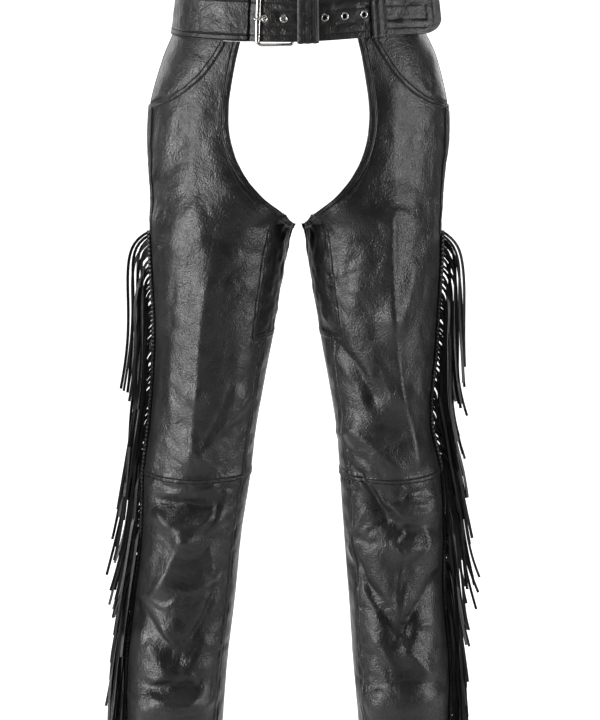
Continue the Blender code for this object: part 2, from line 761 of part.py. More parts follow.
def ring_faces(sections, sides):
    """Triangles of a closed ring of sections, each with the same number of points."""
    faces = []
    for s in range(sections):
        after = (s + 1) % sections
        for n in range(sides):
            near = (n + 1) % sides
            a, b = s * sides + n, s * sides + near
            c, d = after * sides + near, after * sides + n
            faces += [(a, b, c), (a, c, d)]
    return faces


def buckle_point(x, height, lift):
    """Point near the buckle by its distance from the middle, its height and its lift."""
    return waist_point(waist_angle(x), height, lift)


def tube(name, path, sides, finish, closed):
    """Bar along a path of (x, height, lift, half width, half thickness), flat against the waist.

    An open bar runs level, so its width is upright."""
    centres = [buckle_point(x, height, lift) for x, height, lift, _, _ in path]
    count = len(path)
    points = []
    for n, (x, height, lift, half_width, half_thick) in enumerate(path):
        before = centres[(n - 1) % count] if closed or n else centres[n]
        after = centres[(n + 1) % count] if closed or n < count - 1 else centres[n]
        along = unit(tuple(b - a for a, b in zip(before, after)))
        base, raised = buckle_point(x, height, 0.0), buckle_point(x, height, 1.0)
        out = unit(tuple(b - a for a, b in zip(base, raised)))
        across = unit(cross(along, out)) if closed else (0.0, 0.0, 1.0)
        out = unit(cross(across, along))
        for k in range(sides):
            turn = 2 * math.pi * (k + 0.5) / sides
            width, thick = half_width * math.cos(turn), half_thick * math.sin(turn)
            points.append(tuple(c + a * width + o * thick
                                for c, a, o in zip(centres[n], across, out)))
    if closed:
        faces = ring_faces(count, sides)
    else:
        faces = ring_faces(count, sides)[:-2 * sides]
        last = (count - 1) * sides
        faces += [(0, k + 1, k) for k in range(1, sides - 1)]
        faces += [(last, last + k, last + k + 1) for k in range(1, sides - 1)]
    if enclosed_volume(points, faces) < 0:
        faces = [face[::-1] for face in faces]
    add_solid(name, points, faces, finish)


def unit(vector):
    length = math.sqrt(sum(part * part for part in vector))
    return tuple(part / length for part in vector)


def cross(a, b):
    return (a[1] * b[2] - a[2] * b[1], a[2] * b[0] - a[0] * b[2], a[0] * b[1] - a[1] * b[0])


def buckle():
    """Frame with a broad front bar and a hinge bar, and the prong on the hinge bar."""
    middle_x, half_width = (HINGE_X + BAR_X) / 2, (HINGE_X - BAR_X) / 2
    corners = ((1, 1), (-1, 1), (-1, -1), (1, -1))
    path = []
    for n, (side, up) in enumerate(corners):
        radius = BUCKLE_CORNER if side < 0 else 3.0
        centre_x = middle_x + side * (half_width - radius)
        centre_z = up * (BUCKLE_HALF_HEIGHT - radius)
        for step in range(4):
            turn = math.radians(90 * n + 30 * step)
            x = centre_x + radius * math.cos(turn)
            height = centre_z + radius * math.sin(turn)
            share = (HINGE_X - x) / (HINGE_X - BAR_X)
            broad = ease(0.85, 1.0, share) * (1 if abs(height) < BUCKLE_HALF_HEIGHT - 2 else 0.3)
            path.append((x, height, BAR_LIFT * share,
                         BAR_RADIUS + (BAR_HALF_WIDTH - BAR_RADIUS) * broad, BAR_RADIUS))
    tube("buckle_frame", path, 8, CHROME, closed=True)
    wrap_radius = BAR_RADIUS + GAP + PRONG_RADIUS
    prong = []
    for degrees in (-100, -55, -10, 35, 75):
        turn = math.radians(degrees)
        prong.append((HINGE_X + wrap_radius * math.cos(turn), 0.0, wrap_radius * math.sin(turn),
                      PRONG_RADIUS, PRONG_RADIUS))
    prong += [(x, 0.0, lift, PRONG_RADIUS, PRONG_RADIUS) for x, lift in PRONG_PATH]
    tube("buckle_prong", prong, 8, CHROME, closed=False)


def buckle_strap():
    """Short strap on the left waistband that folds round the hinge bar, slotted for the prong."""
    inner_side = BAR_RADIUS + GAP
    outer_side = inner_side + BUCKLE_STRAP_WALL
    stations = [(WAIST_HALF_WIDTH * math.sin(math.radians(angle)), lift, lift + BUCKLE_STRAP_WALL)
                for angle, lift in BUCKLE_STRAP_PATH]
    profile = [((x, low), (x, high)) for x, low, high in stations]
    for degrees in (90, 45, 0, -45, -90):
        turn = math.radians(degrees)
        # the fold lies on the far side of the bar, towards the buckle's window
        profile.append(((HINGE_X - inner_side * math.cos(turn), inner_side * math.sin(turn)),
                        (HINGE_X - outer_side * math.cos(turn), outer_side * math.sin(turn))))
    profile += [((x, -inner_side), (x, -outer_side)) for x in BUCKLE_STRAP_RETURN]
    top = BUCKLE_STRAP_HALF_HEIGHT
    heights = (top, PRONG_SLOT, -PRONG_SLOT, -top)
    outer = [[buckle_point(*as_buckle_place(pair[1], height)) for pair in profile] for height in heights]
    inner = [[buckle_point(*as_buckle_place(pair[0], height)) for pair in profile] for height in heights]
    slot_start, slot_end = len(stations) - 1, len(profile) - 3
    shell("buckle_strap", outer, inner,
          lambda i, j: i != 1 or j < slot_start or j > slot_end, BELT_LEATHER)


def as_buckle_place(pair, height):
    return pair[0], height, pair[1]


def belt_loops():
    """Leather loops that hold the strap down."""
    for row in LOOPS:
        loop = dict(zip(LOOP_COLUMNS, row))
        low, high = loop["inner_lift"], loop["outer_lift"]
        rim, half = LOOP_RIM, LOOP_HALF_HEIGHT
        far = half + LOOP_WALL
        start = waist_angle(loop["x"] - loop["half_width"])
        end = waist_angle(loop["x"] + loop["half_width"])
        angles = (start, (start + end) / 2, end)
        near_path = [(high, half - rim), (high - rim, half)]
        far_path = [(high + LOOP_WALL, half), (high, far)]
        if low is None:
            near_path += [(WAISTBAND_WALL + GAP, half)]
            far_path += [(WAISTBAND_WALL + GAP, far)]
        else:
            near_path += [(low + rim, half), (low, half - rim)]
            far_path += [(low, far), (low - LOOP_WALL, half)]
        near_path = [(lift, -height) for lift, height in reversed(near_path)] + near_path
        far_path = [(lift, -height) for lift, height in reversed(far_path)] + far_path
        inner = [[waist_point(angle, height, lift) for angle in angles] for lift, height in near_path]
        outer = [[waist_point(angle, height, lift) for angle in angles] for lift, height in far_path]
        if low is None:
            shell(row[0], outer, inner, lambda i, j: True, BELT_LEATHER)
        else:
            closed_band(row[0], outer, inner)


def closed_band(name, outer, inner):
    """Band closed round its rows, such as a loop of leather."""
    rows, columns = len(outer), len(outer[0])
    points = [point for row in outer for point in row] + [point for row in inner for point in row]
    shift = rows * columns
    faces = []
    for i in range(rows):
        near = (i + 1) % rows
        for j in range(columns - 1):
            a, b = i * columns + j, i * columns + j + 1
            c, d = near * columns + j + 1, near * columns + j
            faces += [(a, b, c), (a, c, d)]
            faces += [(a + shift, c + shift, b + shift), (a + shift, d + shift, c + shift)]
        for j, order in ((0, 1), (columns - 1, -1)):
            a, b = i * columns + j, near * columns + j
            c, d = b + shift, a + shift
            found = [(a, b, c), (a, c, d)]
            faces += found if order > 0 else [face[::-1] for face in found]
    if enclosed_volume(points, faces) < 0:
        faces = [face[::-1] for face in faces]
    add_solid(name, points, faces, BELT_LEATHER)


def fringe(leg):
    """Strip laced to the outseam by slanted rungs, with a strand hanging from each rung."""
    points, faces = [], []
    rungs = int((STRAND_LOWEST_Z + 60.0 - FRINGE_TOP_Z) / -LACE_PITCH)
    outs = (GAP + 0.1, RAIL_INNER, RAIL_OUTER)
    columns = []

    def place(out, z, depth):
        x, y, _ = leg.outseam_point(z)
        return (x + leg.sign * out, y + depth, z)

    def rail_vertices(z_rail):
        made = []
        for n, out in enumerate(outs):
            z = z_rail + (RUNG_SLANT if n == 0 else 0.0)
            made.append([])
            for depth in (-RAIL_WALL / 2, RAIL_WALL / 2):
                made[-1].append(len(points))
                points.append(place(out, z, depth))
        return made

    for rung in range(rungs):
        top = FRINGE_TOP_Z - RUNG_SLANT - rung * LACE_PITCH
        columns.append(rail_vertices(top))
        columns.append(rail_vertices(top - RUNG_HEIGHT))

    def quad(a, b, c, d):
        faces.extend([(a, b, c), (a, c, d)])

    last = len(columns) - 1
    for n, (here, below) in enumerate(zip(columns, columns[1:])):
        is_rung = n % 2 == 0
        first = 0 if is_rung else 1
        for k in range(first, 2):
            quad(here[k][0], here[k + 1][0], below[k + 1][0], below[k][0])
            quad(here[k][1], below[k][1], below[k + 1][1], here[k + 1][1])
        quad(here[first][0], below[first][0], below[first][1], here[first][1])
        if is_rung:
            quad(here[0][0], here[0][1], here[1][1], here[1][0])
            quad(below[0][0], below[1][0], below[1][1], below[0][1])
            strand(leg, points, faces, here[2], below[2], n // 2)
        else:
            quad(here[2][0], here[2][1], below[2][1], below[2][0])
        if n == 0:
            quad(here[1][0], here[1][1], here[2][1], here[2][0])
        if n == last - 1:
            quad(below[1][0], below[2][0], below[2][1], below[1][1])
    if enclosed_volume(points, faces) < 0:
        faces = [face[::-1] for face in faces]
    add_solid(f"fringe_{leg.name}", points, faces, LEATHER, 60.0)


def strand(leg, points, faces, upper, lower, number):
    """Four-sided lace that leaves the strip outwards, turns down and flares to its tip."""
    root_z = (points[upper[0]][2] + points[lower[0]][2]) / 2
    length = STRAND_LENGTH + STRAND_LENGTH_STEPS[number % len(STRAND_LENGTH_STEPS)]
    length = min(length, root_z - STRAND_LOWEST_Z)
    lane = STRAND_LANES[number % len(STRAND_LANES)]
    stations = [row for row in STRAND_SHAPE if row[0] < length - 12.0]
    after = STRAND_SHAPE[len(stations)]
    before = stations[-1]
    share = (length - before[0]) / (after[0] - before[0])
    stations.append(tuple(p + (q - p) * share for p, q in zip(before, after)))
    centres = []
    for drop, out, spread in stations:
        spans = [step * STRAND_SMOOTHING * min(drop, 1) for step in (-2, -1, 0, 1, 2)]
        below = [leg.outseam_point(max(root_z - drop + span, HEM_Z)) for span in spans]
        x, y = (sum(point[axis] for point in below) / len(below) for axis in (0, 1))
        centres.append((x * leg.sign + out, y + lane * spread, root_z - drop))
    ring = [upper[0], upper[1], lower[1], lower[0]]
    for n in range(1, len(stations)):
        after = centres[min(n + 1, len(centres) - 1)]
        before = centres[n - 1] if n > 1 or len(centres) < 3 else centres[0]
        run_x, run_z = after[0] - before[0], after[2] - before[2]
        run = math.hypot(run_x, run_z)
        normal_x, normal_z = -run_z / run, run_x / run
        x, y, z = centres[n]
        made = []
        for side, depth in ((1, -1), (1, 1), (-1, 1), (-1, -1)):
            made.append(len(points))
            points.append((leg.sign * (x + side * normal_x * STRAND_WIDTH / 2),
                           y + depth * STRAND_WALL / 2, z + side * normal_z * STRAND_WIDTH / 2))
        for k in range(4):
            near = (k + 1) % 4
            faces.extend([(ring[k], ring[near], made[near]), (ring[k], made[near], made[k])])
        ring = made
    faces.extend([(ring[0], ring[1], ring[2]), (ring[0], ring[2], ring[3])])


def build():
    clear_scene()
    for name, sign in SIDES:
        leg = Leg(name, sign)
        front_thigh(leg)
        back_thigh(leg)
        shin_panels(leg)
        pocket_facing(leg)
        hem_strips(leg)
        side_strip(leg)
        gusset(leg)
        fringe(leg)
    waistbands()
    belt_strap()
    eyelets()
    buckle()
    buckle_strap()
    belt_loops()


build()
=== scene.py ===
"""Looks of the leather chaps: leather shells with seams and creases, belt, buckle and braided fringe.

Sizes are millimetres here and metres in the scene. +X is the wearer's left, -Y the front and +Z up.
Suffix _l is the wearer's left leg and _r the right. On each leg an angle of 0 is the front,
90 the outseam, 180 the back and 270 (or -90) the inside of the leg.
"""
import json
import math

import bpy
import numpy as np
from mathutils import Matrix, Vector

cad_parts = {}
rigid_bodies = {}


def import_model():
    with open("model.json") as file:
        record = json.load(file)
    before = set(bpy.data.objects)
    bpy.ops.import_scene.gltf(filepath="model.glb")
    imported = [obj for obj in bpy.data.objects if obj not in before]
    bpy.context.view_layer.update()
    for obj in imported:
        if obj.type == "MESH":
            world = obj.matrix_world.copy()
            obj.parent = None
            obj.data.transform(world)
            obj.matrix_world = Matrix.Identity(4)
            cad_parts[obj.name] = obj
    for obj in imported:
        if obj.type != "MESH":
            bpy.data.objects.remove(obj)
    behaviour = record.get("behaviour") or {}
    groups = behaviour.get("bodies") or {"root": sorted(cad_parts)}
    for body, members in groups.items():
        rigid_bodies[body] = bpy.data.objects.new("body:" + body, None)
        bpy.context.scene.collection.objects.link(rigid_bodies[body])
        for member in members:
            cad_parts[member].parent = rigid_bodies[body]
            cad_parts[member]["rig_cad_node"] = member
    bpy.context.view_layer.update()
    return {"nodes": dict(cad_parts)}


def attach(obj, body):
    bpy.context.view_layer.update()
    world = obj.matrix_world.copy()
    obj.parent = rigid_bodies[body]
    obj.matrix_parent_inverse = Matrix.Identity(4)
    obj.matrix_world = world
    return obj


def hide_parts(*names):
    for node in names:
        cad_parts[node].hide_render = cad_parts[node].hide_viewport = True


MM = 0.001
SIDES = (("r", -1.0), ("l", 1.0))
# seam share of leather that lies far from any sewn edge
FAR = 9.0
SEEDS = {"r": {"uneven": 11, "puckers": 31, "wrinkles": 5, "fringe": 31},
         "l": {"uneven": 12, "puckers": 32, "wrinkles": 6, "fringe": 32}}

# points of the meshes: rows above and below the gusset's end, columns beside the inseam and of the rest
THIGH_ROWS = (108, 58)
FRONT_COLUMNS = (10, 96)
BACK_COLUMNS = (8, 76)
SHIN_ROWS = 150

# sizes shared with the solids
BELT_HEIGHT = 58.0
WAISTBAND_WALL = 2.4
WALL = 1.6
HEM_WALL = 1.2
GAP = 0.3
HEM_WIDTH = 9.5
TOP_Z = -29.6
GUSSET_END_Z = -415.0
KNEE_Z = -614.0
HEM_Z = -1075.0
POCKET_END_Z = -118.0
POCKET_CLEARANCE = 1.5
FACING_END_Z = -115.5
FRINGE_TOP_Z = -292.0
FRINGE_END_Z = -1012.0
GUSSET_FRONT = -43.0
GUSSET_BACK = -130.0
INSEAM = -62.0
OUTSEAM = 90.0
SIDE_STRIP_FRONT = 76.0
SIDE_STRIP_BACK = 98.0
SIDE_STRIP_END_Z = -287.0

# sections of the legs: depth of the front and the back, and distance of each leg's outside and inside
# from the middle of the body; a negative inside means that the ring is still part of the hips
SECTION_COLUMNS = ("z", "front", "back", "outer_r", "inner_r", "outer_l", "inner_l")
SECTIONS = (
    (-29, 116, 107, 164, -164, 164, -164), (-61, 117, 112, 178, -178, 180, -180),
    (-113, 118, 118, 194, -192, 194, -192), (-166, 116, 121, 198, -176, 196, -176),
    (-200, 114, 119, 197, -130, 192, -130), (-232, 112, 115, 195, -62, 189, -62),
    (-256, 110, 111, 195, -14, 188, -14), (-269, 109, 108, 196, 2, 187, 2),
    (-325, 106, 101, 194, 17, 186, 12), (-434, 96, 88, 191, 36, 181, 30),
    (-543, 82, 72, 199, 56, 175, 49), (-614, 76, 64, 208, 65, 190, 55),
    (-700, 66, 74, 212, 78, 195, 61), (-790, 64, 84, 223, 87, 196, 68),
    (-880, 66, 84, 234, 98, 205, 74), (-970, 70, 80, 237, 105, 206, 82),
    (-1075, 74, 80, 240, 112, 209, 88),
)

# cut edges above the crotch: height and distance from the middle of the body
FRONT_EDGE = (
    (-29, 74), (-53, 80), (-79, 86), (-104, 90), (-129, 91), (-155, 88),
    (-181, 80), (-206, 65), (-226, 47), (-236, 35.5), (-246, 23), (-253, 16),
)
BACK_EDGE = (
    (-29, 96), (-60, 106), (-100, 113), (-140, 114), (-180, 109), (-215, 98),
    (-244, 80), (-256, 70), (-266, 59), (-276, 46), (-287, 28),
)
POCKET_EDGE = (
    (-29, 99), (-50, 112), (-70, 127), (-85, 143), (-98, 160), (-108, 177), (-112, 186), (-116, 193),
)
GUSSET_TOP = ((-130, -287), (-112, -283), (-90, -276), (-66, -266), (-43, -253))
# the front cutout's edge curls in, and the leather has a slow unevenness and puckers beside its seams
CURL_DEPTH = 4.5
CURL_REACH = 34.0
UNEVEN_HEIGHT = 0.85
PUCKER_HEIGHT = 0.42
PUCKER_REACH = 15.0
# waist opening at the belt's middle, how much each side grows over the belt's height downwards, and
# how the belt rises by angle
WAIST_HALF_WIDTH = 160.5
WAIST_FRONT = 114.0
WAIST_BACK = 105.5
WAIST_FLARES = {"side": 7.0, "front": 4.0, "back": 3.0}
WAIST_RISE = ((-180, 4), (-90, 3), (-30, 0), (0, 0.5), (20, 3), (43, 6.5), (90, 6), (180, 4))

# largest folds, by leg and side, the same as in the solids
FOLD_COLUMNS = ("x0", "z0", "x1", "z1", "height", "reach")
FOLDS = {
    ("r", "front"): (
        (119, -349, 133, -494, 4.0, 15), (133, -494, 142, -574, 4.0, 15), (84, -494, 135, -574, 4.8, 16),
        (182, -644, 118, -644, -6.4, 15), (182, -662, 149, -690, 6.4, 15), (149, -690, 114, -664, 6.4, 15),
        (156, -700, 184, -759, 5.6, 15), (220, -808, 167, -862, -6.4, 15), (167, -862, 124, -815, -5.6, 15),
        (206, -925, 138, -925, 7.2, 20), (206, -905, 140, -900, -5.6, 15),
    ),
    ("r", "back"): (
        (184, -600, 96, -590, -8.0, 18), (186, -660, 100, -672, -6.4, 18), (200, -760, 120, -740, 6.4, 22),
        (215, -870, 140, -905, -6.4, 18), (150, -330, 120, -470, 4.8, 20),
    ),
    ("l", "front"): (
        (116, -257, 118, -384, 6.4, 15), (118, -384, 131, -494, 5.6, 15), (131, -494, 152, -578, 5.6, 15),
        (148, -322, 124, -401, 4.8, 15), (38, -414, 97, -494, -4.8, 16), (74, -547, 126, -588, 7.2, 22),
        (99, -635, 117, -660, -6.4, 15), (117, -660, 141, -680, -6.4, 15), (130, -655, 172, -655, 7.2, 16),
        (136, -703, 172, -707, 7.2, 16), (75, -739, 137, -829, -6.4, 15), (184, -759, 137, -829, -6.4, 15),
        (143, -843, 170, -878, 5.6, 15), (104, -925, 178, -918, 7.2, 20),
    ),
    ("l", "back"): (
        (84, -600, 166, -592, -8.0, 18), (88, -666, 170, -656, -6.4, 18), (96, -745, 170, -768, 6.4, 22),
        (104, -905, 180, -868, -6.4, 18), (120, -340, 104, -470, 4.8, 20),
    ),
}

# sharper creases laid on the folds: ends on the leg, how far the middle bows sideways, height, reach
CREASE_COLUMNS = ("x0", "z0", "x1", "z1", "bow", "height", "reach")
CREASES = {
    ("r", "front"): (
        (128, -60, 134, -240, 6, 1.0, 9), (134, -240, 119, -349, -4, 1.2, 8),
        (119, -345, 133, -498, 3, 1.6, 6), (131, -488, 143, -590, 3, 1.8, 5),
        (86, -470, 137, -572, -5, -3.0, 6), (70, -486, 112, -548, -5, 2.4, 5),
        (66, -504, 88, -524, -2, 1.8, 5), (138, -556, 120, -584, 3, 1.8, 5),
        (152, -150, 176, -330, 8, -1.2, 10), (168, -420, 158, -560, 5, 1.3, 7),
        (52, -300, 96, -338, 5, -1.4, 6), (40, -330, 90, -392, 7, 1.2, 7), (48, -400, 84, -470, 5, 1.3, 7),
        (204, -608, 158, -621, 3, -2.6, 4.5), (188, -635, 156, -628, -2, 2.2, 4),
        (190, -640, 143, -641, 1, -2.6, 4.5), (145, -640, 110, -651, 2, -2.4, 4.5),
        (190, -644, 162, -676, 6, 2.6, 4.5), (163, -676, 113, -652, 7, 2.6, 4.5),
        (134, -630, 111, -648, -4, 2.4, 3.5), (100, -624, 136, -690, -6, -3.0, 4.5),
        (157, -684, 198, -776, -6, 2.6, 5), (199, -779, 164, -774, 11, 2.6, 4),
        (166, -763, 108, -754, 3, 2.0, 5), (108, -742, 146, -838, -5, -2.6, 5),
        (118, -700, 110, -752, 4, 1.8, 6), (214, -790, 168, -850, 4, -2.6, 6),
        (190, -798, 164, -848, 3, 2.2, 4.5), (164, -846, 166, -874, 3, 2.4, 4),
        (138, -838, 156, -866, -3, -2.2, 5), (212, -832, 178, -876, 4, 1.6, 6),
        (199, -893, 175, -885, -2, 2.2, 4.5), (158, -878, 137, -898, -4, 2.2, 4.5),
        (204, -902, 138, -902, -5, -3.0, 5), (208, -906, 172, -916, 5, 2.8, 5),
        (166, -920, 137, -914, 4, 2.8, 5), (208, -944, 150, -950, 5, -2.2, 6),
        (226, -960, 170, -1000, 6, 1.9, 8), (130, -990, 190, -1040, 6, -1.8, 9),
    ),
    ("l", "front"): (
        (128, -60, 118, -240, -6, 1.0, 9), (117, -230, 118, -392, 2, 2.4, 4.5),
        (118, -384, 132, -500, 2, 2.4, 5), (131, -490, 154, -592, 3, 2.4, 5),
        (119, -246, 148, -256, 4, 1.6, 5), (146, -318, 123, -404, 4, 2.0, 6),
        (164, -200, 150, -330, 5, -1.3, 9), (36, -410, 98, -498, 6, -1.9, 6),
        (44, -442, 92, -520, 5, 1.5, 6), (66, -540, 132, -592, 5, 2.2, 6),
        (60, -566, 118, -606, 4, -1.7, 6), (158, -470, 172, -560, 4, 1.5, 7),
        (60, -586, 92, -630, 2, 2.4, 4.5), (68, -590, 112, -652, 2, -3.0, 5),
        (95, -620, 113, -642, 2, 2.4, 4), (112, -640, 141, -667, 5, 2.8, 4),
        (141, -666, 139, -684, -3, 2.6, 4), (139, -682, 126, -697, -2, 2.6, 4),
        (127, -697, 139, -715, 2, 2.4, 4), (118, -641, 144, -628, -2, -2.6, 4.5),
        (142, -628, 186, -620, -3, -2.4, 5), (130, -645, 180, -638, -5, 2.6, 5),
        (180, -638, 147, -670, 6, 2.0, 5), (122, -648, 164, -653, 2, -2.4, 4.5),
        (130, -696, 170, -696, 2, -2.4, 5), (160, -675, 171, -700, 4, 2.4, 4.5),
        (172, -698, 151, -726, 3, 2.4, 5), (139, -714, 132, -824, -3, 2.4, 4.5),
        (143, -758, 140, -834, -3, 2.2, 4), (69, -712, 118, -822, -6, 2.8, 5),
        (77, -714, 101, -790, -4, -2.4, 4.5), (190, -754, 142, -832, -6, -2.2, 6),
        (89, -652, 73, -716, -5, 2.2, 4.5), (134, -824, 146, -848, 2, 2.3, 5),
        (145, -844, 172, -882, 2, 2.3, 5), (88, -820, 128, -872, 4, 2.0, 7),
        (98, -912, 182, -908, 8, 2.8, 7), (110, -948, 170, -952, 4, -2.0, 7),
        (100, -984, 168, -1030, 6, 1.8, 9),
    ),
    ("r", "back"): (
        (196, -586, 84, -578, 8, -2.6, 7), (190, -604, 110, -616, 6, 2.2, 6),
        (178, -632, 96, -640, 6, -2.2, 7), (200, -676, 112, -690, 7, 2.2, 8),
        (150, -300, 118, -440, 5, 1.8, 9), (96, -310, 134, -420, 6, -1.8, 10),
        (210, -760, 130, -800, 9, -2.2, 8), (220, -872, 140, -912, 7, -2.4, 8),
    ),
    ("l", "back"): (
        (178, -584, 70, -592, -8, -2.6, 7), (170, -610, 92, -602, 6, 2.2, 6),
        (92, -634, 168, -642, 6, -2.2, 7), (84, -684, 176, -676, 7, 2.2, 8),
        (124, -300, 100, -450, 5, 1.8, 9), (72, -320, 110, -410, 6, -1.8, 10),
        (100, -780, 180, -762, 9, -2.2, 8), (100, -900, 184, -872, 7, -2.4, 8),
    ),
}

# how far creases and wrinkles fade towards their ends
CREASE_TAPER = 0.6

# fields of fine wrinkles: middle, half sizes of the field, direction in degrees from level, how much
# it varies, number, length and height
WRINKLE_COLUMNS = ("x", "z", "width", "tall", "turn", "vary", "count", "length", "height")
WRINKLE_FIELDS = {
    ("r", "front"): (
        (70, -300, 45, 50, -38, 14, 16, 42, 0.8), (120, -560, 60, 45, -40, 22, 22, 44, 0.9),
        (150, -660, 55, 45, -8, 26, 26, 40, 1.1), (165, -830, 55, 70, 20, 34, 26, 42, 1.1),
        (170, -960, 50, 60, 4, 26, 16, 46, 1.0), (130, -200, 60, 120, 80, 16, 16, 60, 0.6),
        (150, -420, 45, 90, 82, 14, 12, 60, 0.7),
    ),
    ("l", "front"): (
        (65, -300, 40, 50, -38, 14, 16, 42, 0.8), (100, -560, 50, 45, -36, 22, 22, 44, 0.9),
        (135, -665, 50, 45, -14, 26, 26, 38, 1.1), (130, -830, 50, 70, 16, 34, 26, 42, 1.1),
        (140, -960, 48, 60, 0, 26, 16, 46, 1.0), (130, -200, 60, 120, 96, 16, 16, 60, 0.6),
        (130, -420, 45, 90, 84, 14, 14, 56, 0.8),
    ),
    ("r", "back"): (
        (140, -620, 60, 60, 0, 20, 30, 50, 1.1), (120, -340, 60, 70, 30, 26, 18, 54, 0.9),
        (165, -860, 55, 90, 6, 30, 24, 50, 1.0),
    ),
    ("l", "back"): (
        (120, -620, 60, 60, 0, 20, 30, 50, 1.1), (110, -340, 60, 70, 30, 26, 18, 54, 0.9),
        (140, -860, 50, 90, 6, 30, 24, 50, 1.0),
    ),
}

# belt: angles are from the front middle, and lifts are from the waist
STRAP_WALL = 3.0
# the strap's inner face by angle
STRAP_PATH = (
    (-38.0, -3.3), (-31.0, -3.3), (-24.5, -3.3), (-22.6, -3.2), (-18.8, 0.4), (-15.2, 2.0), (-9.0, 3.6),
    (-2.8, 5.4), (6.0, 5.2), (14.0, 4.2), (24.0, 2.8), (34.0, 2.8), (44.0, 3.0), (52.0, 6.5),
    (60.0, 13.0), (68.0, 21.0), (74.0, 28.0),
)
STRAP_START = -37.0
STRAP_END = 73.7
STRAP_TIP_START = 62.0
STRAP_ROUNDING = 1.3
STRAP_MEAN_LIFT = 4.0
# length along the waist for the belt's unevenness
MM_PER_DEGREE = 2.4
BELT_UNEVEN = 0.5
STRAP_UNEVEN = 0.4
# channels along the strap's edge, as depth, distance from the edge and reach: the stitches pull the
# leather in, and inside them it rolls up and dips
STRAP_GROOVE = (-0.6, 8.8, 0.9)
STRAP_ROLL = (0.8, 14.5, 3.4)
STRAP_DIP = (-1.1, 20.0, 1.8)
# dent round each hole: depth, reach and limit
HOLE_DENT = (0.45, 6.5, 12.0)
# two slanted lines sew the strap's end in under the right waistband: angle at their tops, how far they
# slant in degrees, and their half height
SEWN_STARTS = (-35.5, -38.5)
SEWN_SLANT = 10.0
SEWN_HALF_HEIGHT = 19.0
# angles where the waistbands end in front
WAISTBAND_ENDS = {"r": -23.4, "l": 27.0}
HOLE_PITCH = 25.4
FIRST_HOLE_X = -43.0
HOLE_COUNT = 7
EYELET_RADIUS = 5.1
EYELET_BORE = 3.0
HINGE_X = -8.0
BAR_X = -50.0
BAR_LIFT = 7.0
BAR_RADIUS = 2.0
BAR_HALF_WIDTH = 3.2
BUCKLE_HALF_HEIGHT = 32.6
BUCKLE_CORNER = 6.0
HINGE_CORNER = 3.0
PRONG_RADIUS = 1.5
PRONG_TIP = 1.6
PRONG_PATH = (
    (-18, 2.1), (-30, 0.6), (-39, 0.0), (-42.0, 1.4), (-42.9, 3.6), (-43.7, 6.4),
    (-45.2, 9.0), (-47.8, 10.9), (-51.0, 11.0), (-54.8, 10.1),
)
BUCKLE_STRAP_WALL = 2.2
BUCKLE_STRAP_HEIGHTS = (25.0, 24.0, 18.0, 10.0, 3.2)
BUCKLE_STRAP_PATH = ((33.0, -2.5), (24.0, -2.3), (13.0, 0.4), (4.5, 1.9))
BUCKLE_STRAP_RETURN = (-1.0, 16.0)
LOOP_COLUMNS = ("name", "x", "half_width", "inner_lift", "outer_lift", "ridges")
LOOPS = (
    ("belt_loop_1", 11.0, 13.0, -5.6, 9.7, 3),
    ("belt_loop_2", 97.5, 9.2, None, 7.4, 2),
)
LOOP_WALL = 1.8
LOOP_CORNER = 1.6
LOOP_RIDGE = 0.45
LOOP_HALF_HEIGHT = 29.8

# braided fringe
BRAID_OUT = 3.2
BRAID_TURN = 2.0
BRAID_PITCH = 17.0
BRAID_STEP = 1.9
BRAID_START = 6.0
FIRST_ROOT = 4.0
LACE_HALF_WIDTH = 2.1
LACE_HALF_THICKNESS = 0.8
STRAND_PITCH = 6.9
STRAND_LENGTH = 202.0
# how far out the first strands below the top hang, as shares of the fringe's reach
FIRST_STRANDS = (1.0, 0.72, 0.45, 0.9, 0.2, 0.6)
BACKING_OUT = 0.6
BACKING_HALF_WIDTH = 2.6
LACE_SECTION = ((-1, -0.55), (0, -0.9), (1, -0.55), (1, 0.55), (0, 0.9), (-1, 0.55))
STRAND_SECTION = ((-1, -1), (1, -1), (1, 1), (-1, 1))
STRAND_HALF_THICKNESS = 0.75
STRAND_POINTS = 26
STRAND_LOWEST_Z = -1070.0
# what each strand draws at random: share of its length, spacing, how fast it turns down, spread and
# curve of its flare, height and length of its sway, how far it leans to the front or the back
STRAND_SHARE = (0.88, 1.05)
FIRST_SPACING = 0.7
SPACING = (0.65, 1.35)
SETTLE = (0.7, 1.2)
SPREAD = (0.75, 1.05)
FLARE_CURVE = (1.3, 2.4)
SWAY = (0.3, 1.7)
SWAY_LENGTH = (16, 40)
LANE = (-6.0, 6.0)
LEAN = (-8.0, 8.0)
STRAND_TURN = (-0.5, 0.5)
STRAND_TWIST = (-0.6, 0.6)
STRAND_HALF_WIDTH = (1.65, 1.95)
# nearest and farthest that strands hang from the outseam, by height of the root
HANG_COLUMNS = ("z", "near", "far")
HANG = ((-292, 12, 33), (-330, 11, 27), (-480, 10, 24), (-560, 7, 22), (-1012, 6, 21))
# how far the tips stand out from the outseam: height of the tip and reach
REACH = {
    "r": ((-470, 46), (-492, 45), (-520, 27), (-600, 26), (-640, 31), (-700, 41), (-740, 45), (-790, 40),
          (-830, 33), (-855, 23), (-910, 26), (-940, 31), (-1000, 24), (-1070, 25)),
    "l": ((-430, 43), (-488, 46), (-530, 51), (-560, 41), (-620, 37), (-690, 41), (-750, 48), (-796, 56),
          (-825, 36), (-860, 32), (-910, 27), (-970, 27), (-1070, 28)),
}

# folded edges: width of the fold and height of the leather over it
POCKET_FOLD = (7.2, 0.8)
GUSSET_FOLD = (6.5, 0.6)
GUSSET_TOP_FOLD = (6.5, 0.9)
INSEAM_FOLD = (9.5, 0.7)
KNEE_FOLD = (7.6, 0.9)
HEM_FOLD = (12.0, 0.9)
FOLD_STEP = 2.0
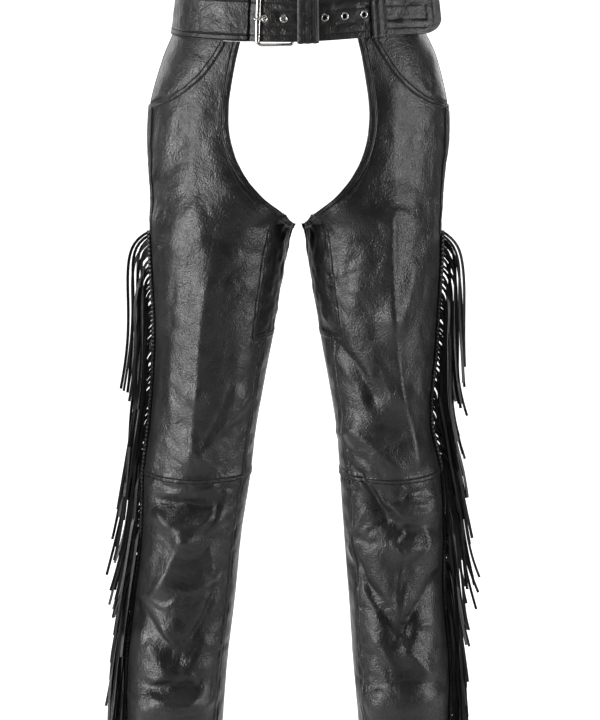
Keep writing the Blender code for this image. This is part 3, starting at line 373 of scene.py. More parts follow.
# depth and reach below the knee seam of the dip along it and of the puckers
KNEE_DIP = (0.6, 5.0)
KNEE_PUCKERS = (0.4, 16.0)
# depth of the facing under the pocket's edge, where it dips more within a few degrees of it
FACING_DEPTH = 0.8
FACING_DIP = (1.4, 4.0)
# section of a narrow strip: crown, depth, place and reach of its stitch lines, and of its edges
STRIP_CROWN = 0.35
STRIP_GROOVE = (0.9, 0.2, 0.055)
STRIP_EDGE = (0.7, 0.05)
STRIP_PUCKERS = 0.15
GUSSET_DEPTH = 0.3
GUSSET_PUCKERS = 0.6
# two lines of stitches: on a folded edge, as shares of its width, and on the strips and the belt, as
# distances from the edge
STITCH_LINES = (0.22, 0.9)
HEM_STITCHES = (1.9, 7.6)
SIDE_STRIP_STITCHES = (2.0, 8.5)
WAISTBAND_STITCHES = (1.9, 7.7)
WAISTBAND_FOLD = 8.6
STRAP_STITCHES = STRAP_GROOVE[1]
STITCH_PITCH = 3.3
STITCH_LENGTH = 2.5
STITCH_RADIUS = 0.42

# dark and light tone, roughness, grain, crinkle and specular level of each leather
LEATHERS = {
    "leg_leather": ((0.006, 0.0055, 0.0055), (0.0145, 0.0134, 0.0134), 0.33, 1.0, 1.0, 0.5),
    # the gusset's tones are darker than the leg leather's: painted shade for the crotch
    "gusset_leather": ((0.005, 0.0048, 0.005), (0.011, 0.0105, 0.011), 0.34, 1.0, 1.2, 0.3),
    "strap_leather": ((0.0055, 0.005, 0.005), (0.013, 0.012, 0.012), 0.35, 0.9, 1.0, 0.5),
    "lace_leather": ((0.005, 0.0046, 0.0046), (0.012, 0.011, 0.011), 0.42, 0.4, 0.25, 0.4),
}
FLESH_SIDE = ((0.018, 0.0175, 0.018), (0.035, 0.034, 0.034))
THREAD = ((0.012, 0.012, 0.013), (0.05, 0.05, 0.052))
NICKEL = ((0.66, 0.63, 0.6), 0.22)
# all leathers: scale of the pebbles, noises (scale, detail, roughness, distortion), how the tone follows
# noise, painted light and shade from the relief and painted shade along the stitch lines, and the depth in
# metres of each layer of the bump
PEBBLE_SCALE = 470.0
SLOW_NOISE = (9.0, 4.0, 0.55)
PATCH_NOISE = (38.0, 5.0, 0.6)
CRINKLE_NOISE = (110.0, 6.0, 0.62, 1.4)
FINE_NOISE = (800.0, 3.0, 0.6)
NOISE_RANGE = (0.3, 0.7)
TONE_RANGE = (0.32, 0.68)
RELIEF_PAINTED_SHADING = 0.03
GROOVE_WIDTH = 0.12
GROOVE_PAINTED_SHADE = 0.8
GROOVE_ROUGHNESS = 0.25
BAND_EDGE = (0.98, 1.16)
PEBBLE_DEPTH = -0.00036
FINE_DEPTH = 0.00006
CRINKLE_DEPTH = 0.0007
PATCH_DEPTH = 0.002
GROOVE_DEPTH = -0.0007
BAND_DEPTH = 0.0006

# least area of a cut as a share of its width by its length
LEAST_SHARE = 0.31
GUSSET_MEAN_TOP_Z = -270.0

# studio, in metres and watts
FLOOR_Z = -2.0
FLOOR_REACH = 9.0
SWEEP_START = 2.6
SWEEP_RADIUS = 3.0
SWEEP_TOP = 8.0
PAPER_COLOUR = (0.75, 0.75, 0.75, 1.0)
# the paper's own light: strength, where it starts and is full behind the garment, and its half width
PAPER_GLOW = 1.0
GLOW_START = 0.3
GLOW_FULL = 2.5
GLOW_HALF_WIDTH = 1.35
GLOW_FADE = 0.6
ROOM_GLOW = 0.08
# light of the whole room, and what the softboxes face
ROOM_COLOUR = (1.0, 1.0, 1.0, 1.0)
LIGHT_TARGET = (0.0, 0.0, -0.45)
CAMERA_PLACE = (0.0014, -3.2, 0.196)
CAMERA_TILT = 11.6
CAMERA_LENS = 122.0
SENSOR_WIDTH = 36.0
# name, azimuth, elevation, distance, width, height, power
LIGHTS = (
    ("key", -64, 0, 3.0, 0.8, 1.9, 106),
    ("fill", 70, 0, 3.0, 0.8, 1.9, 58),
    ("top", 0, 62, 3.0, 1.6, 1.2, 10),
    ("back_left", -140, 20, 3.4, 1.2, 2.2, 30),
    ("back_right", 150, 20, 3.4, 1.2, 2.2, 30),
)


def spline(rows, at, column=1):
    """Value of a table's column at places in its first column, on a smooth curve."""
    keys = np.array([row[0] for row in rows], float)
    values = np.array([row[column] for row in rows], float)
    if keys[0] > keys[-1]:
        keys, values = keys[::-1], values[::-1]
    at = np.clip(np.asarray(at, float), keys[0], keys[-1])
    i = np.clip(np.searchsorted(keys, at, side="right") - 1, 0, len(keys) - 2)
    span = keys[i + 1] - keys[i]
    t = (at - keys[i]) / span
    before, after = np.maximum(i - 1, 0), np.minimum(i + 2, len(keys) - 1)
    slope_in = (values[i + 1] - values[before]) / (keys[i + 1] - keys[before]) * span
    slope_out = (values[after] - values[i]) / (keys[after] - keys[i]) * span
    t2, t3 = t * t, t * t * t
    return (values[i] * (2 * t3 - 3 * t2 + 1) + slope_in * (t3 - 2 * t2 + t)
            + values[i + 1] * (3 * t2 - 2 * t3) + slope_out * (t3 - t2))


def ease(low, high, value):
    t = np.clip((np.asarray(value, float) - low) / (high - low), 0.0, 1.0)
    return t * t * (3 - 2 * t)


def unit(vectors):
    return vectors / np.maximum(np.linalg.norm(vectors, axis=-1, keepdims=True), 1e-9)


class Waves:
    """Smooth unevenness over a plane, from a few seeded waves."""

    def __init__(self, seed, count, shortest, longest):
        rng = np.random.default_rng(seed)
        length = shortest * (longest / shortest) ** rng.random(count)
        turn = rng.random(count) * math.tau
        self.across = np.cos(turn) * math.tau / length
        self.up = np.sin(turn) * math.tau / length
        self.phase = rng.random(count) * math.tau
        self.share = (length / longest) ** 0.6 / math.sqrt(count)

    def __call__(self, s, z):
        total = 0.0
        for across, up, phase, share in zip(self.across, self.up, self.phase, self.share):
            total = total + share * np.sin(across * s + up * z + phase)
        return total


def on_ellipse(turn, middle, half_width, middle_y, half_depth, lift):
    """Points x and y at an angle from the front, moved out by lift."""
    across, along = half_depth * np.sin(turn), -half_width * np.cos(turn)
    length = np.hypot(across, along)
    x = middle + half_width * np.sin(turn) + lift * across / length
    return x, middle_y - half_depth * np.cos(turn) + lift * along / length


def rows_of(table, columns, leg):
    """One leg's rows of a table that is kept by leg and side."""
    return [{"side": side, **dict(zip(columns, row))}
            for (name, side), rows in table.items() if name == leg for row in rows]


def ridge(x, z, row):
    """Soft ridge from one point to the other, bowed sideways and tapered to its ends."""
    along_x, along_z = row["x1"] - row["x0"], row["z1"] - row["z0"]
    from_x, from_z = x - row["x0"], z - row["z0"]
    length = math.hypot(along_x, along_z)
    t = (from_x * along_x + from_z * along_z) / length**2
    held = np.clip(t, 0.0, 1.0)
    sideways = (from_x * -along_z + from_z * along_x) / length - row["bow"] * 4 * held * (1 - held)
    beyond = (t - held) * length
    shape = np.exp(-(np.hypot(sideways, beyond) / row["reach"]) ** 2)
    return row["height"] * shape * (1 - row["taper"] * np.abs(2 * held - 1) ** 3)


class Leg:
    """One leg's outer surface, read by angle and height."""

    def __init__(self, name, sign):
        self.name = name
        self.sign = sign
        self.ridges = [{**row, "bow": 0.0, "taper": 0.0} for row in rows_of(FOLDS, FOLD_COLUMNS, name)]
        self.ridges += [{**row, "taper": CREASE_TAPER}
                        for row in rows_of(CREASES, CREASE_COLUMNS, name) + self.wrinkles()]
        self.uneven = Waves(SEEDS[name]["uneven"], 14, 22.0, 80.0)
        self.puckers = Waves(SEEDS[name]["puckers"], 12, 7.0, 16.0)

    def wrinkles(self):
        """Fine wrinkles spread over their fields, always the same ones."""
        rng = np.random.default_rng(SEEDS[self.name]["wrinkles"])
        made = []
        for field in rows_of(WRINKLE_FIELDS, WRINKLE_COLUMNS, self.name):
            for _ in range(field["count"]):
                x = field["x"] + field["width"] * rng.uniform(-1, 1)
                z = field["z"] + field["tall"] * rng.uniform(-1, 1)
                turn = math.radians(field["turn"] + field["vary"] * rng.normal())
                half = field["length"] * rng.uniform(0.4, 1.2) / 2
                made.append({
                    "side": field["side"],
                    "x0": x - half * math.cos(turn), "z0": z + half * math.sin(turn),
                    "x1": x + half * math.cos(turn), "z1": z - half * math.sin(turn),
                    "bow": rng.uniform(-0.16, 0.16) * half * 2,
                    "height": field["height"] * rng.uniform(0.4, 1.1) * rng.choice((-1.0, 1.0)),
                    "reach": rng.uniform(3.0, 5.5),
                })
        return made

    def ring(self, z):
        columns = (f"outer_{self.name}", f"inner_{self.name}", "front", "back")
        outer, inner, front, back = (spline(SECTIONS, z, SECTION_COLUMNS.index(name)) for name in columns)
        return (outer + inner) / 2, (outer - inner) / 2, (back - front) / 2, (front + back) / 2

    def angle_at(self, x, z):
        """Angle of the front point at a distance x from the middle of the body."""
        middle, half_width, _, _ = self.ring(z)
        return np.degrees(np.arcsin(np.clip((x - middle) / half_width, -1.0, 1.0)))

    def pace(self, angle, z):
        _, half_width, _, half_depth = self.ring(z)
        turn = np.radians(angle)
        return np.hypot(half_width * np.cos(turn), half_depth * np.sin(turn))

    def turn_for(self, distance, angle, z):
        """Angle that a distance along the ring takes."""
        return np.degrees(distance / self.pace(angle, z))

    def arc(self, angle, z):
        """Length along the ring from the front to an angle."""
        nodes, weights = np.polynomial.legendre.leggauss(12)
        angle, z = np.broadcast_arrays(np.asarray(angle, float), np.asarray(z, float))
        total = np.zeros(angle.shape)
        for node, weight in zip(nodes, weights):
            total += weight * self.pace(angle * (node + 1) / 2, z)
        return total * np.radians(angle) / 2

    def angle_of_arc(self, s, z):
        angle = np.asarray(s, float) / 100.0 * 57.3
        for _ in range(6):
            angle = angle - np.degrees((self.arc(angle, z) - s) / self.pace(angle, z))
        return angle

    def relief(self, angle, z):
        """Folds, creases and unevenness of the leather, in millimetres outwards."""
        middle, half_width, _, _ = self.ring(z)
        turn = np.radians(angle)
        x = middle + half_width * np.sin(turn)
        facing = np.cos(turn)
        # folds fade out towards the outseam and the inseam, and the rest is calmer there
        fade = ease(0.04, 0.3, np.abs(facing))
        total = np.zeros(np.broadcast(angle, z).shape)
        for side, mask in (("front", facing >= 0), ("back", facing < 0)):
            part = np.zeros(total.shape)
            for row in self.ridges:
                if row["side"] == side:
                    part += ridge(x, z, row)
            total += part * mask
        s = self.arc(angle, z)
        calm = 0.5 + 0.5 * ease(-60, -160, z)
        gap = x - spline(FRONT_EDGE, z)
        curl = CURL_DEPTH * (1 - ease(-2, CURL_REACH, gap)) * (facing > 0)
        curl = curl * ease(-40, -95, z) * ease(GUSSET_END_Z + 60, -235, z)
        quiet = 0.25 + 0.75 * ease(0.05, 0.3, np.abs(facing))
        uneven = UNEVEN_HEIGHT * calm * quiet * self.uneven(s, z) * ease(-31, -60, z)
        return total * fade - curl + uneven

    def point(self, angle, z, lift=0.0, relief=None):
        """Points of the leather's outer face, moved out by lift."""
        angle, z = np.broadcast_arrays(np.asarray(angle, float), np.asarray(z, float))
        out = lift + (self.relief(angle, z) if relief is None else relief)
        x, y = on_ellipse(np.radians(angle), *self.ring(z), out)
        rise = spline(WAIST_RISE, self.sign * np.where(angle > 180, angle - 360, angle))
        return np.stack([self.sign * x, y, z + rise * ease(-100, -30, z)], -1)

    def outward(self, angle, z):
        angle, z = np.broadcast_arrays(np.asarray(angle, float), np.asarray(z, float))
        _, half_width, _, half_depth = self.ring(z)
        turn = np.radians(angle)
        across, along = half_depth * np.sin(turn), -half_width * np.cos(turn)
        return unit(np.stack([self.sign * across, along, np.zeros(across.shape)], -1))

    def front_start(self, z):
        z = np.asarray(z, float)
        edge = self.angle_at(spline(FRONT_EDGE, z), z)
        return np.where(z >= GUSSET_TOP[-1][1], edge, GUSSET_FRONT)

    def front_end(self, z):
        z = np.asarray(z, float)
        edge = self.angle_at(spline(POCKET_EDGE, z), z)
        return np.where(z > POCKET_END_Z, edge, OUTSEAM)

    def back_end(self, z):
        z = np.asarray(z, float)
        edge = 180.0 - self.angle_at(spline(BACK_EDGE, z), z)
        return np.where(z > GUSSET_TOP[0][1], edge, GUSSET_BACK + 360.0)

    def outseam(self, z):
        """Outseam of the solids, as points (x away from the body, y)."""
        middle, half_width, middle_y, _ = self.ring(np.asarray(z, float))
        return middle + half_width, middle_y


def placed(name, data):
    """New object in the scene."""
    made = bpy.data.objects.new(name, data)
    bpy.context.scene.collection.objects.link(made)
    return made


def new_object(name, points, faces, materials, slot, face_materials=None, smooth_angle=38.0):
    """Piece of the garment; triangles or quads given as an array are turned to face outwards."""
    if isinstance(faces, np.ndarray):
        faces = (faces if enclosed_volume(points, faces) > 0 else faces[:, ::-1]).tolist()
    mesh = bpy.data.meshes.new(name)
    mesh.from_pydata((np.asarray(points) * MM).tolist(), [], faces)
    for one in materials:
        mesh.materials.append(one)
    if face_materials is not None:
        mesh.polygons.foreach_set("material_index", np.asarray(face_materials, np.int32))
    mesh.validate()
    mesh.shade_smooth()
    mesh.set_sharp_from_angle(angle=math.radians(smooth_angle))
    made = placed(name, mesh)
    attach(made, "root")
    return made


def enclosed_volume(points, faces):
    a, b, c = points[faces[:, 0]], points[faces[:, 1]], points[faces[:, 2]]
    total = (a * np.cross(b, c)).sum()
    if faces.shape[1] == 4:
        d = points[faces[:, 3]]
        total += (a * np.cross(c, d)).sum()
    return total / 6


def shell(name, outer, inner, materials, present=None, slot="black_leather", relief=None, seam=None):
    """Closed wall between two grids of points, over the cells that are present."""
    rows, columns = outer.shape[:2]
    index = np.arange(rows * columns).reshape(rows, columns)
    if present is None:
        present = np.ones((rows - 1, columns - 1), bool)
    a, b = index[:-1, :-1][present], index[:-1, 1:][present]
    c, d = index[1:, 1:][present], index[1:, :-1][present]
    top = np.stack([a, b, c, d], 1)
    shift = rows * columns
    edges = np.concatenate([top[:, [0, 1]], top[:, [1, 2]], top[:, [2, 3]], top[:, [3, 0]]])
    _, place, count = np.unique(np.sort(edges, axis=1), axis=0, return_inverse=True, return_counts=True)
    open_edges = edges[count[place.reshape(-1)] == 1]
    rim = np.stack([open_edges[:, 1], open_edges[:, 0],
                    open_edges[:, 0] + shift, open_edges[:, 1] + shift], 1)
    faces = np.concatenate([top, top[:, ::-1] + shift, rim])
    points = np.concatenate([outer.reshape(-1, 3), inner.reshape(-1, 3)])
    used, faces = np.unique(faces, return_inverse=True)
    faces = faces.reshape(-1, 4)
    which = np.zeros(len(faces), np.int32)
    if len(materials) > 1:
        which[len(top):2 * len(top)] = 1
    made = new_object(name, points[used], faces, materials, slot, which)
    for kind, values, plain in (("relief", relief, 0.0), ("seam_share", seam, FAR)):
        values = np.full(outer.shape[:2], plain) if values is None else values
        values = np.broadcast_to(np.asarray(values, float), outer.shape[:2]).reshape(-1)
        both = np.concatenate([values, np.full(shift, plain)])
        attribute = made.data.attributes.new(kind, "FLOAT", "POINT")
        attribute.data.foreach_set("value", both[used].astype(np.float32))


def eased_shares(count, closeness=0.08):
    """Shares from 0 to 1, closer together near both ends."""
    t = np.linspace(0.0, 1.0, count)
    return t - closeness * np.sin(math.tau * t)


def distance_to(path, s, z):
    """Distance on the flattened leather from each point to a line."""
    best = np.full(np.broadcast(s, z).shape, 1e9)
    for (s0, z0), (s1, z1) in zip(path[:-1], path[1:]):
        ds, dz = s1 - s0, z1 - z0
        length = max(ds * ds + dz * dz, 1e-9)
        t = np.clip(((s - s0) * ds + (z - z0) * dz) / length, 0.0, 1.0)
        best = np.minimum(best, np.hypot(s - s0 - t * ds, z - z0 - t * dz))
    return best


def tangents(path, closed=False):
    """Directions along a path."""
    if closed:
        return unit(np.roll(path, -1, axis=0) - np.roll(path, 1, axis=0))
    return unit(np.gradient(path, axis=0))


def offset(path, distance):
    """Line beside another on the flattened leather."""
    tangent = tangents(path)
    return path + distance * np.stack([-tangent[:, 1], tangent[:, 0]], 1)


def seam_path(leg, angles, z):
    angles, z = np.broadcast_arrays(np.asarray(angles, float), np.asarray(z, float))
    return np.stack([leg.arc(angles, z), z], 1)


class Stitching:
    """Collects sewn lines, then makes every stitch of one piece of thread work."""

    def __init__(self):
        self.lines = []

    def add(self, points, normals):
        self.lines.append((np.asarray(points, float), np.asarray(normals, float)))

    def on_leg(self, leg, path, lift):
        angles = leg.angle_of_arc(path[:, 0], path[:, 1])
        self.add(leg.point(angles, path[:, 1], lift), leg.outward(angles, path[:, 1]))

    def on_belt(self, angles, heights, lift):
        angles, heights = np.broadcast_arrays(angles, heights)
        self.add(waist_point(angles, heights, lift), waist_outward(angles))

    def build(self, name, finish, slot):
        rows = []
        for points, normals in self.lines:
            steps = np.linalg.norm(np.diff(points, axis=0), axis=1)
            place = np.concatenate([[0.0], np.cumsum(steps)])
            at = (np.arange(int(place[-1] / STITCH_PITCH)) + 0.5) * STITCH_PITCH

            def read(values, at):
                return np.stack([np.interp(at, place, values[:, k]) for k in range(3)], 1)

            rows.append((read(points, at), unit(read(points, at + 0.8) - read(points, at - 0.8)),
                         unit(read(normals, at))))
        centre, along, out = (np.concatenate(part) for part in zip(*rows))
        side = unit(np.cross(along, out))
        half, radius = STITCH_LENGTH / 2, STITCH_RADIUS
        template = [(-half, 0.0, -0.3)]
        for x in (-0.55 * half, 0.55 * half):
            template += [(x, radius, 0.0), (x, 0.0, radius), (x, -radius, 0.0), (x, 0.0, -radius)]
        template += [(half, 0.0, -0.3)]
        template = np.array(template)
        points = (centre[:, None] + along[:, None] * template[None, :, :1]
                  + side[:, None] * template[None, :, 1:2] + out[:, None] * template[None, :, 2:])
        faces = []
        for k in range(4):
            near = (k + 1) % 4
            faces += [(0, 1 + k, 1 + near), (1 + k, 5 + k, 5 + near), (1 + k, 5 + near, 1 + near),
                      (9, 5 + near, 5 + k)]
        faces = np.array(faces)
        count = len(template)
        all_faces = (faces[None] + (np.arange(len(centre)) * count)[:, None, None]).reshape(-1, 3)
        new_object(name, points.reshape(-1, 3), all_faces, [finish], slot)


class Seams:
    """Folded and stitched edges of one panel."""

    def __init__(self, leg):
        self.leg = leg
        self.rows = []

    def add(self, angles, z, side, fold):
        """Edge along angles and heights; side says on which side of that line the fold lies."""
        self.rows.append((seam_path(self.leg, angles, z), side, *fold))

    def lie(self, s, z):
        """Lift of the leather, and distance from the nearest edge as a share of its band's width."""
        lift = np.zeros(np.broadcast(s, z).shape)
        share = np.full(lift.shape, FAR)
        near = np.full(lift.shape, 99.0)
        for path, _, width, height in self.rows:
            distance = distance_to(path, s, z)
            lift = np.maximum(lift, height * (1 - ease(width, width + FOLD_STEP, distance)))
            share = np.minimum(share, distance / width)
            near = np.minimum(near, distance)
        pucker = PUCKER_HEIGHT * np.exp(-(near / PUCKER_REACH) ** 2) * self.leg.puckers(s, z)
        return lift + pucker, share

    def stitch(self, stitching):
        for path, side, width, height in self.rows:
            for share in STITCH_LINES:
                stitching.on_leg(self.leg, offset(path, side * share * width), height - 0.1)


# materials

class Finish:
    """Node material of one finish, laid out in the object's own coordinates."""

    def __init__(self, name):
        self.material = bpy.data.materials.new(name)
        self.material.use_nodes = True
        self.tree = self.material.node_tree
        self.shader = self.tree.nodes["Principled BSDF"]
        self.place = self.tree.nodes.new("ShaderNodeTexCoord").outputs["Object"]

    def node(self, kind, inputs, **settings):
        """New node; each input is a number or colour to set, or an output to link."""
        made = self.tree.nodes.new(kind)
        for name, value in settings.items():
            setattr(made, name, value)
        self.feed(made, inputs)
        return made

    def feed(self, node, inputs):
        for name, value in inputs.items():
            if isinstance(value, bpy.types.NodeSocket):
                self.tree.links.new(value, node.inputs[name])
            else:
                node.inputs[name].default_value = value

    def noise(self, scale, detail, roughness, distortion=0.0):
        return self.node("ShaderNodeTexNoise", {
            "Vector": self.place, "Scale": scale, "Detail": detail, "Roughness": roughness,
            "Distortion": distortion}).outputs["Fac"]

    def attribute(self, name):
        return self.node("ShaderNodeAttribute", {}, attribute_name=name).outputs["Fac"]

    def calculate(self, operation, first, second=0.0):
        return self.node("ShaderNodeMath", {0: first, 1: second}, operation=operation).outputs[0]

    def total(self, *layers):
        """Sum of layers, each an output alone or an output with its factor."""
        total = None
        for layer in layers:
            value = self.calculate("MULTIPLY", *layer) if isinstance(layer, tuple) else layer
            total = value if total is None else self.calculate("ADD", total, value)
        return total

    def mapped(self, value, low, high, to_low, to_high, how="LINEAR"):
        return self.node("ShaderNodeMapRange", {
            "Value": value, "From Min": low, "From Max": high, "To Min": to_low, "To Max": to_high,
        }, interpolation_type=how).outputs["Result"]

    def spread(self, noise, low, high):
        """The usual range of a noise, spread between two values."""
        return self.mapped(noise, *NOISE_RANGE, low, high)

    def colour(self, share, dark, light):
        blend = self.node("ShaderNodeMix", {"Factor": share, 6: (*dark, 1.0), 7: (*light, 1.0)},
                          data_type="RGBA")
        self.feed(self.shader, {"Base Color": blend.outputs[2]})

    def bump(self, height, strength=1.0, distance=1.0):
        made = self.node("ShaderNodeBump", {"Height": height, "Strength": strength, "Distance": distance})
        self.feed(self.shader, {"Normal": made.outputs["Normal"]})


def leather(name, dark, light, roughness, grain, crinkle, shine):
    """Pebbled leather: grain, crinkles and sewn edges are in the bump, colour and gloss vary slowly, and the
    colour carries painted light and shade from the relief and painted shade along the stitch lines.
    """
    finish = Finish(name)
    pebbles = finish.node("ShaderNodeTexVoronoi", {
        "Vector": finish.place, "Scale": PEBBLE_SCALE, "Randomness": 1.0, "Smoothness": 0.3,
    }, feature="SMOOTH_F1").outputs["Distance"]
    slow, patches = finish.noise(*SLOW_NOISE), finish.noise(*PATCH_NOISE)
    crinkles, fine = finish.noise(*CRINKLE_NOISE), finish.noise(*FINE_NOISE)
    share = finish.attribute("seam_share")

    def line(middle):
        """1 on a line of stitches, falling softly to 0 beside it."""
        gap = finish.calculate("ABSOLUTE", finish.calculate("SUBTRACT", share, middle))
        return finish.mapped(gap, 0.0, GROOVE_WIDTH, 1.0, 0.0, "SMOOTHSTEP")

    groove = finish.calculate("MAXIMUM", *(line(middle) for middle in STITCH_LINES))
    band = finish.mapped(share, *BAND_EDGE, 1.0, 0.0, "SMOOTHSTEP")
    # tone follows slow noise and the relief: lighter on raised folds and darker in hollows and curled edges,
    # painted light and shade
    tone = finish.total((slow, 0.5), (patches, 0.5), (finish.attribute("relief"), RELIEF_PAINTED_SHADING))
    tone = finish.mapped(tone, *TONE_RANGE, 0.0, 1.0)
    # colour darkened along the stitch lines, with the specular level cut there below: painted shade in the
    # grooves
    finish.colour(finish.total(tone, (groove, -GROOVE_PAINTED_SHADE)), dark, light)
    gloss = finish.total(finish.spread(patches, roughness - 0.06, roughness + 0.08),
                         finish.mapped(pebbles, 0.0, 0.7, -0.03, 0.07), (groove, GROOVE_ROUGHNESS))
    finish.feed(finish.shader, {"Roughness": gloss,
                                "Specular IOR Level": finish.mapped(groove, 0.0, 0.8, shine, 0.02)})
    finish.bump(finish.total(
        (pebbles, PEBBLE_DEPTH * grain), (fine, FINE_DEPTH * grain), (crinkles, CRINKLE_DEPTH * crinkle),
        (patches, PATCH_DEPTH * crinkle), (groove, GROOVE_DEPTH), (band, BAND_DEPTH)))
    return finish.material


def suede(name, dark, light):
    """Flesh side of the leather: rough, with short fibres."""
    finish = Finish(name)
    cloud, fibre = finish.noise(60.0, 6.0, 0.7), finish.noise(1600.0, 3.0, 0.7)
    finish.colour(finish.spread(cloud, 0.0, 1.0), dark, light)
    finish.feed(finish.shader, {"Roughness": finish.spread(fibre, 0.82, 0.95)})
    finish.bump(fibre, 0.5, 0.0004)
    return finish.material


def metal(name, colour, roughness):
    """Polished plated metal with faint smears."""
    finish = Finish(name)
    smears = finish.noise(140.0, 5.0, 0.6)
    finish.colour(smears, [part * 0.82 for part in colour], colour)
    finish.feed(finish.shader, {"Roughness": finish.spread(smears, roughness - 0.06, roughness + 0.1),
                                "Metallic": 1.0})
    return finish.material


def thread(name, dark, light):
    """Twisted polyester thread."""
    finish = Finish(name)
    twist = finish.noise(2500.0, 2.0, 0.5)
    finish.colour(twist, dark, light)
    finish.feed(finish.shader, {"Roughness": finish.spread(twist, 0.4, 0.6)})
    return finish.material


def paper():
    """Matt white paper, lit from within behind the garment so that it shows white there."""
    finish = Finish("paper")
    parts = finish.node("ShaderNodeSeparateXYZ", {0: finish.place})
    behind = finish.mapped(parts.outputs["Y"], GLOW_START, GLOW_FULL, 0.0, PAPER_GLOW, "SMOOTHSTEP")
    aside = finish.calculate("ABSOLUTE", parts.outputs["X"])
    middle = finish.mapped(aside, GLOW_HALF_WIDTH, GLOW_HALF_WIDTH + GLOW_FADE, 1.0, 0.0, "SMOOTHSTEP")
    finish.feed(finish.shader, {
        "Emission Strength": finish.calculate("MULTIPLY", behind, middle),
        "Emission Color": (1.0, 1.0, 1.0, 1.0),
        "Base Color": PAPER_COLOUR,
        "Roughness": 0.9,
        "Specular IOR Level": 0.0,
    })
    return finish.material


# legs

def leg_shell(part, leg, angles, z, relief, finishes, present=None, seam=None):
    """Leather of one piece of a leg, between its grain side and its flesh side."""
    shell(f"{part}_{leg.name}_leather", leg.point(angles, z, 0.0, relief),
          leg.point(angles, z, 0.0, relief - WALL), finishes, present, relief=relief, seam=seam)


def thigh_panel(part, leg, columns, hidden, seams, stitching, finishes):
    """Thigh panel; its columns beside the inseam are hidden down to the gusset's end."""
    above = np.linspace(TOP_Z, GUSSET_END_Z, THIGH_ROWS[0])
    below = np.linspace(GUSSET_END_Z, KNEE_Z + GAP / 2, THIGH_ROWS[1])
    z = np.concatenate([above, below[1:]])
    angles, z = columns(z), z[:, None]
    lift, share = seams.lie(leg.arc(angles, z), z)
    present = np.ones((len(z) - 1, angles.shape[1] - 1), bool)
    present[:len(above) - 1, hidden] = False
    leg_shell(part, leg, angles, z, leg.relief(angles, z) + lift, finishes, present, share)
    seams.stitch(stitching)


def front_thigh(leg, stitching, finishes):
    extra, main = FRONT_COLUMNS

    def columns(z):
        start, end = leg.front_start(z), leg.front_end(z)
        start = start + leg.turn_for(GAP / 2, start, z)
        end = end - leg.turn_for(GAP / 2, end, z)
        first = np.full(z.shape, INSEAM + 0.1)
        extras = first[:, None] + (start - first)[:, None] * np.linspace(0, 1, extra + 1)[None, :-1]
        return np.hstack([extras, start[:, None] + (end - start)[:, None] * eased_shares(main)[None]])

    seams = Seams(leg)
    pocket_z = np.concatenate([np.linspace(-31, -108, 40), np.linspace(-109, POCKET_END_Z, 30)])
    seams.add(leg.angle_at(spline(POCKET_EDGE, pocket_z), pocket_z), pocket_z, -1, POCKET_FOLD)
    seams.add(GUSSET_FRONT, np.linspace(GUSSET_TOP[-1][1], GUSSET_END_Z, 50), 1, GUSSET_FOLD)
    seams.add(np.linspace(GUSSET_FRONT, INSEAM, 8), GUSSET_END_Z, -1, GUSSET_FOLD)
    seams.add(INSEAM, np.linspace(GUSSET_END_Z - 1, KNEE_Z, 50), 1, INSEAM_FOLD)
    seams.add(np.linspace(INSEAM, OUTSEAM, 60), KNEE_Z, 1, KNEE_FOLD)
    thigh_panel("front_thigh", leg, columns, slice(0, extra), seams, stitching, finishes)


def back_thigh(leg, stitching, finishes):
    extra, main = BACK_COLUMNS

    def columns(z):
        end = leg.back_end(z)
        end = end - leg.turn_for(GAP / 2, end, z)
        start = np.full(z.shape, OUTSEAM + 0.1)
        last = np.full(z.shape, INSEAM + 360.0 - 0.1)
        extras = end[:, None] + (last - end)[:, None] * np.linspace(0, 1, extra + 1)[None, 1:]
        return np.hstack([start[:, None] + (end - start)[:, None] * eased_shares(main)[None], extras])

    seams = Seams(leg)
    back, inseam = GUSSET_BACK + 360.0, INSEAM + 360.0
    seams.add(np.linspace(OUTSEAM, inseam, 60), KNEE_Z, 1, KNEE_FOLD)
    seams.add(back, np.linspace(GUSSET_TOP[0][1] - 3, GUSSET_END_Z, 40), -1, GUSSET_FOLD)
    seams.add(np.linspace(back, inseam, 12), GUSSET_END_Z, -1, GUSSET_FOLD)
    thigh_panel("back_thigh", leg, columns, slice(-extra, None), seams, stitching, finishes)


def shins(leg, stitching, finishes):
    z = np.linspace(KNEE_Z - GAP / 2, HEM_Z, SHIN_ROWS)[:, None]
    below_knee = KNEE_Z - z
    for side, start, end, count in (("front", INSEAM, OUTSEAM, FRONT_COLUMNS[1]),
                                    ("back", OUTSEAM, INSEAM + 360.0, BACK_COLUMNS[1])):
        angles = start + 0.1 + (end - start - 0.2) * eased_shares(count)[None] + 0 * z
        seams = Seams(leg)
        seams.add(np.linspace(start, end, 60), HEM_Z, 1, HEM_FOLD)
        if side == "front":
            seams.add(INSEAM, np.linspace(KNEE_Z, HEM_Z, 100), 1, INSEAM_FOLD)
        s = leg.arc(angles, z)
        lift, share = seams.lie(s, z)
        # the leather dips and puckers where it is sewn in under the thigh panel
        lift = lift - KNEE_DIP[0] * np.exp(-(below_knee / KNEE_DIP[1]) ** 2)
        lift = lift + KNEE_PUCKERS[0] * np.exp(-(below_knee / KNEE_PUCKERS[1]) ** 2) * leg.puckers(s, z)
        leg_shell(f"{side}_shin", leg, angles, z, leg.relief(angles, z) + lift, finishes, seam=share)
        seams.stitch(stitching)


def pocket_facing(leg, finishes):
    z = np.linspace(TOP_Z, FACING_END_Z, 36)[:, None]
    start = leg.angle_at(spline(POCKET_EDGE, z) + POCKET_CLEARANCE, z)
    start = np.minimum(start, OUTSEAM - 1.0)
    angles = start + (OUTSEAM - 0.1 - start) * np.linspace(0, 1, 34)[None]
    depth, reach = FACING_DIP
    relief = leg.relief(angles, z) - FACING_DEPTH - depth * np.exp(-((angles - start) / reach) ** 2)
    leg_shell("pocket_facing", leg, angles, z, relief, finishes)


